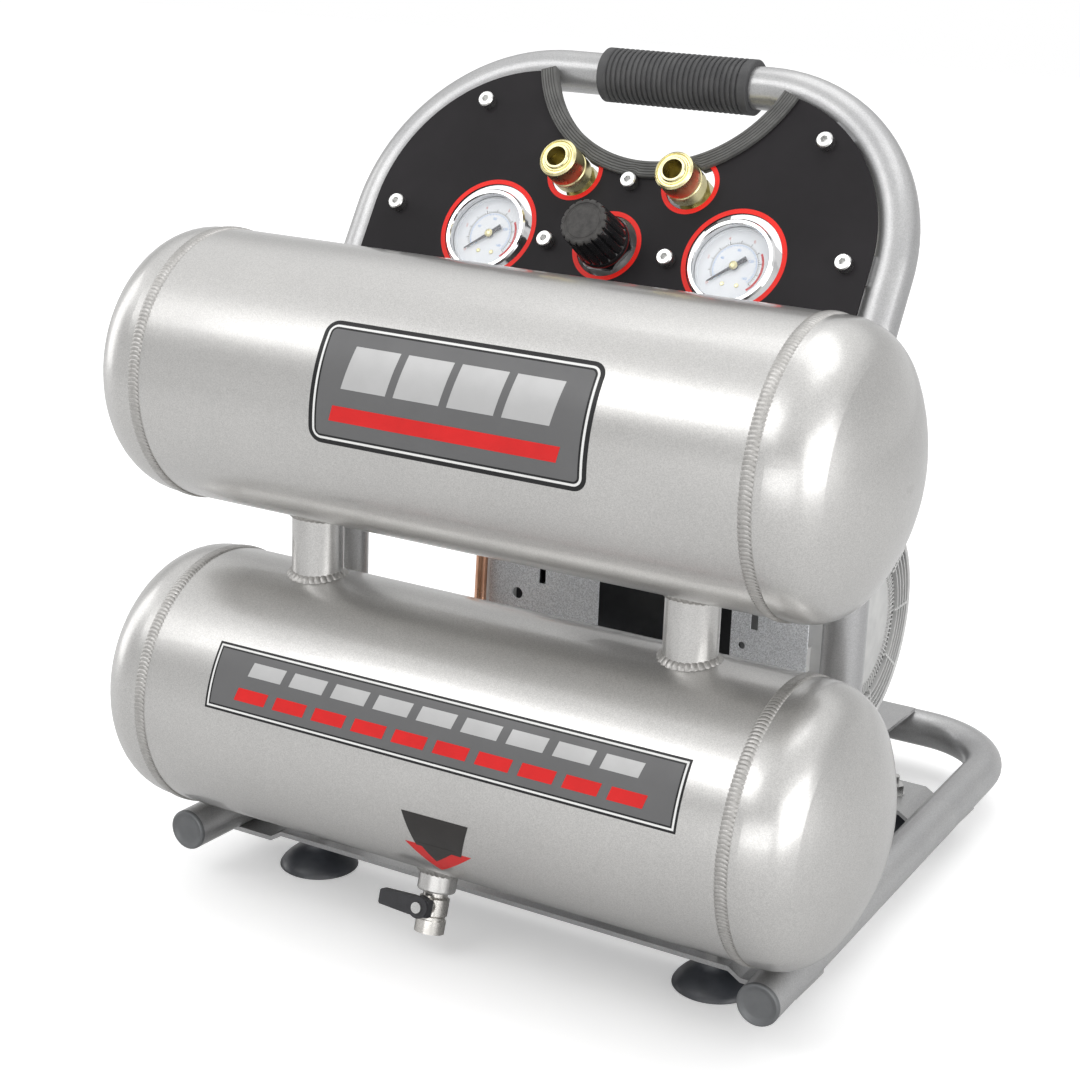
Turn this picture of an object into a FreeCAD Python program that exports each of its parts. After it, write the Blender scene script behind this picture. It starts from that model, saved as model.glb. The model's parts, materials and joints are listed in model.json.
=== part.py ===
"""Portable twin-tank air compressor, one STEP file for each piece.

Two aluminium tanks lie one above the other across the front of a bent tube frame.  A
two-cylinder oil-free pump stands behind them on a plate, and a hoop carries the carrying
grip and the control panel.  Millimetres, +Z up, +X to the right seen from the front, -Y
to the front.  Every piece is built with the tank axes at Y = 0, then moved back by
TANK_Y so that the origin is the middle of the footprint, on the floor.
"""
import FreeCAD, Part
import math
import os
from FreeCAD import Vector, Rotation, Placement

# ---- driving dimensions -------------------------------------------------------------
TANK_R = 80.5            # outside radius of both tanks
TANK_WALL = 3.0
SHELL_HALF = 192.7       # half the length of the rolled shell, weld to weld
END_SKIRT = 8.0          # straight skirt of a pressed tank end
END_DEPTH = 46.0         # depth of the dished part
END_KNUCKLE = 32.0       # knuckle radius of the dish
LOWER_Z = 128.7          # height of the lower tank axis
UPPER_Z = 326.7          # height of the upper tank axis
BEAD_H = 1.6             # how far a weld bead stands proud
LINK_R = 15.5            # tubes that join the two tanks
LINK_BORE = 9.0
LINK_X = (-121.0, 129.0)

TUBE_R = 12.7            # 25.4 mm frame tube
TUBE_WALL = 1.8
RAIL_Z = 32.4            # height of the base rail axis
RAIL_FRONT_X = 197.1     # rail axis at its front end
RAIL_FRONT_Y = -30.0
RAIL_BACK_X = 184.4      # rail axis where the back bend starts
REAR_BAR_Y = 407.0
RAIL_BEND = 60.0

HOOP_X = 174.4           # half the hoop's width, on the tube axis
HOOP_Y = 107.8           # depth of its upright part
HOOP_LEAN = 31.0         # degrees, backward lean of its upper part
HOOP_KNEE = 70.0         # bend radius where the lean starts
HOOP_CORNER = 106.0      # bend radius of its top corners
HOOP_TOP = 194.7         # length up the slope, from LEAN_Z to the top bar
LEAN_Y = 88.6            # where the sloped plane passes LEAN_Z
LEAN_Z = 330.0
GRIP_R = 16.6
GRIP_X = (-41.0, 59.5)

STRAP_T = 3.0            # foot straps
STRAP_STEP = 5.0         # how far a strap's middle is joggled up
FRONT_STRAP = (31.8, 38.0, 201.0, 158.0)    # middle's depth, width, half length, half its raised part
REAR_STRAP = (300.0, 50.0, 191.0, 156.0)
FOOT_X = 141.5
FOOT_R = 25.0

PANEL_T = 1.5
PANEL_GAP = TUBE_R + PANEL_T + 0.1     # panel face in front of the hoop's own plane
PANEL_LOW = 16.0         # slope length at the panel's lower edge
PANEL_HALF = 166.9
PANEL_SHIFT = 2.0        # the instruments stand a little right of the middle
CUT_AT = (9.0, 216.0)    # centre of the hand cut-out
CUT_R = 83.6
EDGING_OUT = 8.6         # the edging's lip outside the cut, and its roll inside it
EDGING_IN = 1.6
EDGING_N = (-4.5, 3.2)
GAUGE_AT = (82.8, 80.2)  # sideways and up the slope
KNOB_AT = (0.0, 79.0)
COUPLER_AT = (38.8, 122.8)
COUPLER_HOLE_SHIFT = 2.8  # the coupler holes stand right of the couplers
HOOP_SCREWS = ((-149.0, 88.7), (152.3, 86.0), (-108.8, 162.4), (120.2, 157.8))
MIDDLE_SCREW = (5.0, 120.2)
INNER_SCREWS = ((-38.0, 76.9), (43.6, 75.3), MIDDLE_SCREW)
GAUGE_OFF = (-1.0, -1.5)  # a gauge's axis from the middle of its hole
GAUGE_R = 25.6
GAUGE_HOLE = 29.3
COUPLER_HOLE = 15.3
KNOB_HOLE = 19.2

PLATE_TOP = 47.6
PLATE_HALF = 115.0
PLATE_Y = (170.0, 404.0)
MOTOR_Y = 271.0
MOTOR_Z = 147.0
MOTOR_R = 51.0
MOTOR_HALF = 52.0
CASE_R = 44.0            # crankcases
CASE_X = (52.0, 90.0)
CYL_X = 71.0             # cylinder axis, sideways
CYL_R = 21.0             # bore
CRANK = 5.0
GUARD_R = 74.0
GUARD_X = (101.0, 125.0)
SHROUD_Y = 191.0
SHROUD_Z = (98.0, 203.0)
SHROUD_WINDOW = (-33.0, 17.0)
SHROUD_SEAM = (56.0, 64.0)             # gap between the sheet's two halves

DRAIN_X = -15.2
DRAIN_TILT = 16.0        # degrees forward of straight down
RUN = 0.05               # radial clearance of a running fit

CHECK_X = -96.0
TAB_T = 5.0              # welded tabs that the panel is screwed to
TAB_REACH = 98.2         # their far edge, from the middle of the hoop's corner bend
SUPPLY_X = 60.0
PIPE_X = 121.5
MANIFOLD_N = (-50.0, -34.0)
NEEDLE_PIN = 1.0
NEEDLE_REST = 219.0      # degrees from +X, where an empty gauge's needle points
STEM_R = 4.0
KNOB_FLUTES = 18
PLUG_R = 6.2             # socket of a quick coupler
PLUG_N = (-2.0, 22.0)    # its floor and its mouth
SLEEVE_R = 12.0
SLEEVE_N = (-4.0, 20.6)
PULL_PIN = 1.6
SWITCH_X = (-32.0, 32.0)
SWITCH_S = (30.0, 78.0)
SWITCH_N = (-118.0, -62.0)
LEVER_PIN = 3.0
GLAND_X = -14.0
GLAND_BORE = 4.2
SHAFT_R = 6.0
SHAFT_HALF = 116.0
FAN_X = 110.0            # middle of each fan, sideways
BEARING_R = 14.0
MOUNT_X = 46.0
MOUNT_Y = 46.0
MOUNT_H = 20.0
HEAD_Z = 235.0
ROD_EYE = 20.8
CAPACITOR_Z = 222.0
FAN_BLADES = 7
GUARD_SPOKES = 10
BALL_R = 5.5
VALVE_STEM = 2.4
OUTLET_R = 5.6

FRONT_MOST = TANK_R + BEAD_H
TANK_Y = FRONT_MOST - (FRONT_MOST + REAR_BAR_Y + TUBE_R) / 2.0
STRAP_HIGH = RAIL_Z - TUBE_R - STRAP_T + STRAP_STEP     # underside of a strap's middle
X_AXIS = Vector(1, 0, 0)
Y_AXIS = Vector(0, 1, 0)
Z_AXIS = Vector(0, 0, 1)
SIDES = (-1, 1)
EXPORTED = []


# ---- helpers ------------------------------------------------------------------------
def save(name, *solids):
    """Write one node, as one or more separate solids, in the object's own frame."""
    shapes = []
    for solid in solids:
        shapes.extend(solid.Solids)
    whole = shapes[0] if len(shapes) == 1 else Part.makeCompound(shapes)
    whole = whole.copy()
    whole.translate(Vector(0, TANK_Y, 0))
    bad = [s for s in shapes if not s.isValid() or s.Volume <= 0]
    if bad:
        print("CHECK", name, "has", len(bad), "faulty solids")
    whole.exportStep("parts/%s.step" % name)
    EXPORTED.append((name, whole))


def box(x, y, z):
    """A block from three (low, high) pairs."""
    size = [hi - lo for lo, hi in (x, y, z)]
    return Part.makeBox(size[0], size[1], size[2], Vector(x[0], y[0], z[0]))


def rod(r, start, end):
    """A solid cylinder between two points."""
    start, end = Vector(*start), Vector(*end)
    return Part.makeCylinder(r, (end - start).Length, start, end - start)


def ring(outer, inner, start, end):
    """A hollow cylinder between two points."""
    return rod(outer, start, end).cut(rod(inner, start, end))


def turned(points, axis=Z_AXIS, at=Vector(0, 0, 0)):
    """A solid of revolution: points are (radius, height) along the axis."""
    profile = Part.makePolygon([Vector(r, 0, h) for r, h in points + points[:1]])
    solid = Part.Face(profile).revolve(Vector(0, 0, 0), Z_AXIS, 360)
    solid.Placement = Placement(at, Rotation(Z_AXIS, axis))
    return solid


def hexagon(across, height, at, axis=Z_AXIS):
    """A hexagonal prism; across is the width over its flats."""
    r = across / math.sqrt(3.0)
    corners = [Vector(r * math.cos(math.radians(60 * i)), r * math.sin(math.radians(60 * i)), 0)
               for i in range(7)]
    prism = Part.Face(Part.makePolygon(corners)).extrude(Vector(0, 0, height))
    prism.Placement = Placement(Vector(*at), Rotation(Z_AXIS, axis))
    return prism


def mirrored(shape):
    """The same shape on the other side of the middle plane."""
    return shape.mirror(Vector(0, 0, 0), X_AXIS)


def both(shape):
    """A shape and its mirror image."""
    return [shape, mirrored(shape)]


def fused(shapes):
    """One solid from several that touch or overlap."""
    whole = shapes[0]
    for shape in shapes[1:]:
        whole = whole.fuse(shape)
    return whole.removeSplitter()


def joined_path(points, radii):
    """A wire of straight runs joined by tangent arcs, one radius for each inner point."""
    points = [Vector(*p) for p in points]
    edges = []
    last = points[0]
    for i, radius in enumerate(radii, start=1):
        corner = points[i]
        back = (points[i - 1] - corner).normalize()
        ahead = (points[i + 1] - corner).normalize()
        half = back.getAngle(ahead) / 2.0
        setback = radius / math.tan(half)
        first = corner + back * setback
        second = corner + ahead * setback
        middle = (back + ahead).normalize()
        centre = corner + middle * (radius / math.sin(half))
        top = centre - middle * radius
        if (first - last).Length > 1e-6:
            edges.append(Part.makeLine(last, first))
        edges.append(Part.Arc(first, top, second).toShape())
        last = second
    edges.append(Part.makeLine(last, points[-1]))
    return Part.Wire(edges)


def swept(path, r):
    """A round bar of radius r along a wire."""
    start = path.Edges[0].valueAt(path.Edges[0].FirstParameter)
    along = path.Edges[0].tangentAt(path.Edges[0].FirstParameter)
    circle = Part.Wire(Part.makeCircle(r, start, along))
    return path.makePipeShell([circle], True, False)


def pipe(path, outer, inner):
    """A round tube along a wire."""
    return swept(path, outer).cut(swept(path, inner))


# The sloped frame of the hoop's top: local X sideways, local Y up the slope, local Z out
# of the panel's face towards the front.
SLOPE = math.radians(HOOP_LEAN)
FACE_ORIGIN = Vector(0, LEAN_Y, LEAN_Z) + Vector(0, -math.cos(SLOPE), math.sin(SLOPE)) * PANEL_GAP
PANEL_PLACE = Placement(FACE_ORIGIN, Rotation(X_AXIS, 90.0 - HOOP_LEAN))


def on_panel(shape):
    """Carry a shape from the panel's own frame into the object's."""
    shape = shape.copy()
    shape.Placement = PANEL_PLACE.multiply(shape.Placement)
    return shape


def panel_point(x, s, n):
    """A point given sideways, up the slope and out of the panel's face."""
    return PANEL_PLACE.multVec(Vector(x, s, n))


# ---- tanks --------------------------------------------------------------------------
def tank_end_profile(inset):
    """Wire of half a dished end about the X axis; inset moves it inwards for the wall."""
    r = TANK_R - inset
    knuckle = END_KNUCKLE - inset
    depth = END_DEPTH - inset
    centre_r = r - knuckle
    crown = (depth ** 2 + centre_r ** 2 - knuckle ** 2) / (2.0 * (depth - knuckle))
    start = SHELL_HALF + END_SKIRT
    crown_x = start + depth - crown
    knuckle_at = Vector(start, centre_r, 0)
    crown_at = Vector(crown_x, 0, 0)
    tangent = knuckle_at + (knuckle_at - crown_at).normalize() * knuckle
    lean = math.atan2(tangent.y, tangent.x - crown_x)
    crown_mid = crown_at + Vector(math.cos(lean / 2), math.sin(lean / 2), 0) * crown
    turn = math.atan2(tangent.x - start, tangent.y - centre_r)
    knuckle_mid = knuckle_at + Vector(math.sin(turn / 2), math.cos(turn / 2), 0) * knuckle
    tip = Vector(start + depth, 0, 0)
    return [Part.makeLine(Vector(SHELL_HALF, r, 0), Vector(start, r, 0)),
            Part.Arc(Vector(start, r, 0), knuckle_mid, tangent).toShape(),
            Part.Arc(tangent, crown_mid, tip).toShape()]


def tank_end():
    """One dished end of the lower tank's size, at X plus, axis at the origin."""
    solids = []
    for inset in (0.0, TANK_WALL):
        edges = tank_end_profile(inset)
        tip = edges[-1].Vertexes[-1].Point
        rim = Vector(SHELL_HALF, TANK_R - inset, 0)
        closing = [Part.makeLine(tip, Vector(SHELL_HALF, 0, 0)),
                   Part.makeLine(Vector(SHELL_HALF, 0, 0), rim)]
        face = Part.Face(Part.Wire(edges + closing))
        solids.append(face.revolve(Vector(0, 0, 0), X_AXIS, 360))
    return solids[0].cut(solids[1])


def drain_axis(distance):
    """A point on the drain's axis, at a distance from the lower tank's axis."""
    tilt = math.radians(DRAIN_TILT)
    return Vector(DRAIN_X, -distance * math.sin(tilt), LOWER_Z - distance * math.cos(tilt))


def make_tanks():
    """Shells, dished ends, the two joining tubes and the weld beads."""
    link_bores = [rod(LINK_BORE, (x, 0, LOWER_Z + 40), (x, 0, UPPER_Z - 40)) for x in LINK_X]
    drain_hole = rod(7.0, drain_axis(60), drain_axis(100))
    check_hole = rod(6.0, (CHECK_X, 60, LOWER_Z), (CHECK_X, 100, LOWER_Z))
    supply_hole = rod(5.0, (SUPPLY_X, 60, UPPER_Z), (SUPPLY_X, 100, UPPER_Z))
    end = tank_end()
    for name, z, holes in (("upper", UPPER_Z, [supply_hole]),
                           ("lower", LOWER_Z, [drain_hole, check_hole])):
        shell = ring(TANK_R, TANK_R - TANK_WALL, (-SHELL_HALF, 0, z), (SHELL_HALF, 0, z))
        for hole in link_bores + holes:
            shell = shell.cut(hole)
        save(name + "_tank_shell", shell)
        raised = end.copy()
        raised.translate(Vector(0, 0, z))
        save(name + "_tank_ends", *both(raised))

    tanks = fused([rod(TANK_R, (-SHELL_HALF, 0, z), (SHELL_HALF, 0, z))
                   for z in (LOWER_Z, UPPER_Z)])
    links = [ring(LINK_R, LINK_BORE, (x, 0, LOWER_Z + 60), (x, 0, UPPER_Z - 60)).cut(tanks)
             for x in LINK_X]
    save("tank_links", *links)

    bead = []
    for z in (LOWER_Z, UPPER_Z):
        for side in SIDES:
            section = [(TANK_R, -4.5), (TANK_R + 1.1, -2.6), (TANK_R + BEAD_H, 0.0),
                       (TANK_R + 1.1, 2.6), (TANK_R, 4.5)]
            bead.append(turned(section, X_AXIS, Vector(side * SHELL_HALF, 0, z)))
    save("tank_weld_beads", *bead)


# ---- frame --------------------------------------------------------------------------
def rail_path(front_y):
    """Axis of the base rail, from its left front end round the back to the right one."""
    back = REAR_BAR_Y
    slope = (RAIL_FRONT_X - RAIL_BACK_X) / (REAR_BAR_Y - RAIL_BEND - RAIL_FRONT_Y)
    corner_x = RAIL_FRONT_X - slope * (back - RAIL_FRONT_Y)
    front_x = RAIL_FRONT_X - slope * (front_y - RAIL_FRONT_Y)
    points = [(-front_x, front_y, RAIL_Z), (-corner_x, back, RAIL_Z),
              (corner_x, back, RAIL_Z), (front_x, front_y, RAIL_Z)]
    return joined_path(points, (RAIL_BEND, RAIL_BEND))


def hoop_path(foot_z):
    """Axis of the hoop, from its left foot over the top to its right foot."""
    lean = Vector(0, math.sin(SLOPE), math.cos(SLOPE))
    knee_z = LEAN_Z + (HOOP_Y - LEAN_Y) / math.tan(SLOPE)
    top = Vector(0, LEAN_Y, LEAN_Z) + lean * HOOP_TOP
    half = [(HOOP_X, HOOP_Y, foot_z), (HOOP_X, HOOP_Y, knee_z), (HOOP_X, top.y, top.z)]
    other = [(-x, y, z) for x, y, z in reversed(half)]
    return joined_path(half + other, (HOOP_KNEE, HOOP_CORNER, HOOP_CORNER, HOOP_KNEE))


def strap(middle_y, width, half, raised):
    """A flat foot strap, joggled up between its two ends."""
    low, high = STRAP_HIGH - STRAP_STEP, STRAP_HIGH
    step = (raised, raised + 8.0)
    outline = [(-half, low), (-step[1], low), (-step[0], high), (step[0], high),
               (step[1], low), (half, low)]
    outline += [(x, z + STRAP_T) for x, z in reversed(outline)]
    wire = Part.makePolygon([Vector(x, middle_y - width / 2, z) for x, z in outline + outline[:1]])
    bar = Part.Face(wire).extrude(Vector(0, width, 0))
    for side in SIDES:
        bar = bar.cut(rod(4.2, (side * FOOT_X, middle_y, low - 5), (side * FOOT_X, middle_y, 40)))
    return bar


def foot_places():
    """Middle of each rubber foot, on the floor."""
    return [Vector(side * FOOT_X, y, 0) for y in (FRONT_STRAP[0], REAR_STRAP[0]) for side in SIDES]


def make_foot_bolts():
    """The bolt of each foot, with the washer and nut that hold it to its strap."""
    top = STRAP_HIGH + STRAP_T
    bolts = []
    for at in foot_places():
        bolts.append(turned([(0, 4.5), (7.5, 4.5), (7.5, 9.0), (4.0, 9.0), (4.0, 38.0), (0, 38.0)],
                            Z_AXIS, at))
        washer = ring(8.0, 4.0, (at.x, at.y, top), (at.x, at.y, top + 1.2))
        nut = hexagon(13.0, 6.0, (at.x, at.y, top + 1.2)).cut(rod(4.0, at, at + Z_AXIS * 45))
        bolts.append(fused([washer, nut]))
    return bolts


def make_frame():
    """Base rail, hoop, straps, feet, saddles and the pump plate."""
    rail = pipe(rail_path(RAIL_FRONT_Y), TUBE_R, TUBE_R - TUBE_WALL)
    rail_solid = swept(rail_path(RAIL_FRONT_Y), TUBE_R)
    save("base_rail", rail)

    caps = []
    for side in SIDES:
        front = Vector(side * RAIL_FRONT_X, RAIL_FRONT_Y, RAIL_Z)
        toe = (RAIL_FRONT_X - RAIL_BACK_X) / (REAR_BAR_Y - RAIL_BEND - RAIL_FRONT_Y)
        inward = Vector(-side * toe, 1, 0).normalize()
        plug = turned([(0, -2.5), (11.4, -2.5), (TUBE_R, -1.4), (TUBE_R, 0), (TUBE_R - TUBE_WALL, 0),
                       (TUBE_R - TUBE_WALL, 12), (7, 12), (7, 2), (0, 2)], inward, front)
        caps.append(plug)
    save("rail_end_caps", *caps)

    hoop = pipe(hoop_path(RAIL_Z - 6), TUBE_R, TUBE_R - TUBE_WALL).cut(rail_solid)
    hoop_solid = swept(hoop_path(RAIL_Z - 6), TUBE_R)
    hoop = max(hoop.Solids, key=lambda s: s.Volume)
    tabs = []
    for x, s in HOOP_SCREWS:
        corner = Vector(math.copysign(HOOP_X - HOOP_CORNER, x), min(s, HOOP_TOP - HOOP_CORNER), 0)
        direction = (Vector(x, s, 0) - corner).normalize()
        far = corner + direction * TAB_REACH
        near = Vector(x, s, 0) - direction * 8
        across = Vector(-direction.y, direction.x, 0) * 9
        level = Vector(0, 0, -PANEL_T - TAB_T)
        corners = [near - across, far - across, far + across, near + across, near - across]
        tab = Part.Face(Part.makePolygon([c + level for c in corners])).extrude(Vector(0, 0, TAB_T))
        hole = rod(2.6, (x, s, -20), (x, s, 5))
        tabs.append(on_panel(tab.cut(hole)).cut(hoop_solid))
    clean_tabs = [max(t.Solids, key=lambda s: s.Volume) for t in tabs]
    save("handle_hoop", fused([hoop] + clean_tabs))

    top = Vector(0, LEAN_Y + HOOP_TOP * math.sin(SLOPE), LEAN_Z + HOOP_TOP * math.cos(SLOPE))
    save("handle_grip", ring(GRIP_R, TUBE_R, (GRIP_X[0], top.y, top.z), (GRIP_X[1], top.y, top.z)))

    save("front_foot_strap", strap(*FRONT_STRAP))
    save("rear_foot_strap", strap(*REAR_STRAP))

    cup = [(4.2, 9.0), (9.0, 9.0), (15.0, 6.5), (20.0, 0.0), (FOOT_R, 0.0), (FOOT_R, 1.8), (22.0, 6.0),
           (16.0, 11.0), (11.0, 14.0), (10.0, 17.0), (11.5, STRAP_HIGH), (4.2, STRAP_HIGH)]
    save("rubber_feet", *[turned(cup, Z_AXIS, at) for at in foot_places()])

    tank = rod(TANK_R, (-260, 0, LOWER_Z), (260, 0, LOWER_Z))
    block = box((150.0, 187.5), (6.0, 46.0), (RAIL_Z + 4, LOWER_Z - 60))
    trough = box((140.0, 190.5), (-60.0, 80.0), (0.0, RAIL_Z + TUBE_R - 3.0))
    saddle = block.cut(tank).cut(rail_solid).cut(trough)
    saddle = max(saddle.Solids, key=lambda s: s.Volume)
    save("tank_saddles", *both(saddle))

    plate_low = RAIL_Z + TUBE_R
    plate = box((-PLATE_HALF, PLATE_HALF), PLATE_Y, (plate_low, PLATE_TOP))
    strap_top = STRAP_HIGH + STRAP_T
    webs = [box((x - 1.25, x + 1.25), (REAR_STRAP[0] - 24, REAR_STRAP[0] + 24), (strap_top, plate_low))
            for x in (-105.0, -35.0, 35.0, 105.0)]
    lip = box((-PLATE_HALF, PLATE_HALF), (PLATE_Y[0], PLATE_Y[0] + 2.5), (plate_low - 12, plate_low))
    plate = fused([plate, lip] + webs)
    for x in (-MOUNT_X, MOUNT_X):
        for y in (MOTOR_Y - MOUNT_Y, MOTOR_Y + MOUNT_Y):
            plate = plate.cut(rod(3.2, (x, y, plate_low - 5), (x, y, PLATE_TOP + 5)))
    save("motor_platform", plate)


# ---- control panel ------------------------------------------------------------------
def panel_outline(inset):
    """Face that fills the hoop's opening down to the panel's lower edge."""
    half = PANEL_HALF - inset
    low = PANEL_LOW + inset
    corner_x = HOOP_X - HOOP_CORNER
    corner_s = HOOP_TOP - HOOP_CORNER
    r = half - corner_x
    mid = r / math.sqrt(2.0)
    right = [Part.makeLine(Vector(0, low, 0), Vector(half, low, 0)),
             Part.makeLine(Vector(half, low, 0), Vector(half, corner_s, 0)),
             Part.Arc(Vector(half, corner_s, 0), Vector(corner_x + mid, corner_s + mid, 0),
                      Vector(corner_x, corner_s + r, 0)).toShape(),
             Part.makeLine(Vector(corner_x, corner_s + r, 0), Vector(0, corner_s + r, 0))]
    left = [edge.mirror(Vector(0, 0, 0), X_AXIS) for edge in right]
    return Part.Face(Part.Wire(Part.__sortEdges__(right + left)))


def shifted(place, side=1):
    """Middle of an instrument on one side, with the shift they all share."""
    return (side * place[0] + PANEL_SHIFT, place[1])


def coupler_hole(side):
    """Middle of the panel's hole round one coupler."""
    x, s = shifted(COUPLER_AT, side)
    return (x + COUPLER_HOLE_SHIFT, s)


def make_panel():
    """The panel plate, its edging and its screws."""
    plate = panel_outline(0.0).extrude(Vector(0, 0, -PANEL_T))
    plate = plate.cut(rod(CUT_R, (*CUT_AT, -10), (*CUT_AT, 10)))
    holes = [(shifted(KNOB_AT), KNOB_HOLE)]
    holes += [(shifted(GAUGE_AT, side), GAUGE_HOLE) for side in SIDES]
    holes += [(coupler_hole(side), COUPLER_HOLE) for side in SIDES]
    holes += [(place, 2.6) for place in HOOP_SCREWS + INNER_SCREWS]
    for (x, s), r in holes:
        plate = plate.cut(rod(r, (x, s, -10), (x, s, 10)))
    plate = max(plate.Solids, key=lambda s: s.Volume)
    save("control_panel", on_panel(plate))

    low, high = (*CUT_AT, EDGING_N[0]), (*CUT_AT, EDGING_N[1])
    edging = ring(CUT_R + EDGING_OUT, CUT_R - EDGING_IN, low, high)
    slot = ring(CUT_R + EDGING_OUT + 1, CUT_R, (*CUT_AT, -PANEL_T), (*CUT_AT, 0))
    inside = panel_outline(1.0).extrude(Vector(0, 0, 30))
    inside.translate(Vector(0, 0, -15))
    edging = edging.cut(slot).common(inside)
    for side in SIDES:
        x, s = shifted(COUPLER_AT, side)
        edging = edging.cut(rod(SLEEVE_R + 0.6, (x, s, -10), (x, s, 10)))
    x, s = MIDDLE_SCREW
    edging = edging.cut(rod(5.4, (x, s, 0), (x, s, 10)))
    edging = max(edging.Solids, key=lambda s: s.Volume)
    save("panel_trim", on_panel(edging))

    screws = []
    for x, s in HOOP_SCREWS + INNER_SCREWS:
        head = turned([(0, 0), (5.0, 0), (5.0, 5.0), (4.4, 5.8), (0, 5.8)])
        head = head.cut(hexagon(4.0, 4.0, (0, 0, 3.0)))
        shank = rod(2.5, (0, 0, -10), (0, 0, 0))
        nut = hexagon(8.0, 3.6, (0, 0, -PANEL_T - TAB_T - 3.6))
        screw = fused([head, shank, nut])
        screw.translate(Vector(x, s, 0))
        screws.append(on_panel(screw))
    save("panel_screws", *screws)


def gauge_axis(side):
    """Where a gauge's axis passes through the panel's face."""
    x, s = shifted(GAUGE_AT, side)
    return Vector(x + GAUGE_OFF[0], s + GAUGE_OFF[1], 0)


def make_gauges():
    """Two dial gauges: case with its bezel, dial, lens, and a needle each."""
    case_profile = [(0, -26), (GAUGE_R, -26), (GAUGE_R, -3.5), (26.8, -3.5), (26.8, 1.2), (25.8, 2.4),
                    (24.0, 2.4), (23.4, 1.4), (23.4, 0.0), (24.6, 0.0), (24.6, -24), (0, -24)]
    cases, dials, lenses = [], [], []
    for side in SIDES:
        at = gauge_axis(side)
        case = turned(case_profile)
        stem = rod(5.0, (0, 0, MANIFOLD_N[1]), (0, 0, -26))
        square = box((-7, 7), (-7, 7), (MANIFOLD_N[1] + 2.0, -26))
        case = fused([case, stem, square])
        dial = ring(24.5, NEEDLE_PIN + RUN, (0, 0, -6.6), (0, 0, -5.6))
        lens = rod(24.5, (0, 0, -1.6), (0, 0, 0.0))
        for shape, group in ((case, cases), (dial, dials), (lens, lenses)):
            shape.translate(at)
            group.append(on_panel(shape))
    save("gauge_cases", *cases)
    save("gauge_dials", *dials)
    save("gauge_lenses", *lenses)

    for side, name in zip(SIDES, ("tank", "outlet")):
        turn = math.radians(NEEDLE_REST)
        tip = Vector(math.cos(turn), math.sin(turn), 0)
        across = Vector(-tip.y, tip.x, 0)
        outline = [tip * 18 + across * 0.3, tip * 18 - across * 0.3, tip * 2 - across * 0.9,
                   tip * -8.5 - across * 1.6, tip * -8.5 + across * 1.6, tip * 2 + across * 0.9]
        outline.append(outline[0])
        blade = Part.Face(Part.makePolygon(outline)).extrude(Vector(0, 0, 0.6))
        blade.translate(Vector(0, 0, -4.4))
        hub = turned([(0, -5.0), (2.4, -5.0), (2.4, -3.4), (1.6, -2.6), (0, -2.6)])
        spindle = rod(NEEDLE_PIN, (0, 0, -12), (0, 0, -4))
        needle = fused([blade, hub, spindle])
        needle.translate(gauge_axis(side))
        save(name + "_gauge_needle", on_panel(needle))


def make_regulator():
    """Regulator body with its stem, the lock ring on the panel, and the knob."""
    at = Vector(*shifted(KNOB_AT), 0)
    body = turned([(0, MANIFOLD_N[1]), (17, MANIFOLD_N[1]), (17, -8), (12, -4), (12, 3.2), (7, 3.2),
                   (7, 8), (STEM_R, 8), (STEM_R, 27), (0, 27)])
    ring_nut = hexagon(31.0, 3.0, (0, 0, 0.2)).common(rod(17.4, (0, 0, 0), (0, 0, 4)))
    ring_nut = ring_nut.cut(rod(12.0, (0, 0, -1), (0, 0, 5)))
    knob = turned([(7.6, 4.2), (16.6, 4.2), (16.6, 8.5), (16.0, 9.5), (14.6, 34.0), (13.4, 35.2),
                   (0, 35.2), (0, 28), (STEM_R + RUN, 28), (STEM_R + RUN, 9.0), (7.6, 9.0)])
    for i in range(KNOB_FLUTES):
        angle = math.radians(360.0 * i / KNOB_FLUTES)
        spot = Vector(17.4 * math.cos(angle), 17.4 * math.sin(angle), 0)
        top = Vector(15.6 * math.cos(angle), 15.6 * math.sin(angle), 0)
        knob = knob.cut(rod(1.3, spot + Vector(0, 0, 9.5), top + Vector(0, 0, 33.0)))
    for name, shape in (("regulator_body", body), ("regulator_nut", ring_nut),
                        ("regulator_knob", knob)):
        shape.translate(at)
        save(name, on_panel(shape))


def make_couplers():
    """Quick couplers: a body each, and a sleeve that is pushed towards the panel."""
    bodies = []
    for side, name in zip(SIDES, ("left", "right")):
        at = Vector(*shifted(COUPLER_AT, side), 0)
        floor, mouth = PLUG_N
        body = turned([(3.0, MANIFOLD_N[1]), (7.0, MANIFOLD_N[1]), (7.0, -24.0), (8.0, -24.0),
                       (8.0, mouth - 0.8), (7.4, mouth), (PLUG_R, mouth), (PLUG_R, floor),
                       (3.0, floor - 3.2)])
        collar = hexagon(20.0, 11.0, (0, 0, -24.0)).cut(rod(7.5, (0, 0, -30), (0, 0, 0)))
        body = fused([body, collar])
        low, high = SLEEVE_N
        sleeve = turned([(8.0 + RUN, low), (SLEEVE_R - 0.8, low), (SLEEVE_R, low + 0.8),
                         (SLEEVE_R, low + 9.0), (SLEEVE_R - 0.6, low + 9.6), (SLEEVE_R - 0.6, low + 10.4),
                         (SLEEVE_R, low + 11.0), (SLEEVE_R, high - 1.2), (SLEEVE_R - 1.2, high),
                         (10.6, high), (10.0, high - 0.9), (9.2, high - 0.9), (8.8, high),
                         (8.0 + RUN, high)])
        body.translate(at)
        sleeve.translate(at)
        bodies.append(on_panel(body))
        save(name + "_coupler_sleeve", on_panel(sleeve))
    save("coupler_bodies", *bodies)


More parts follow.
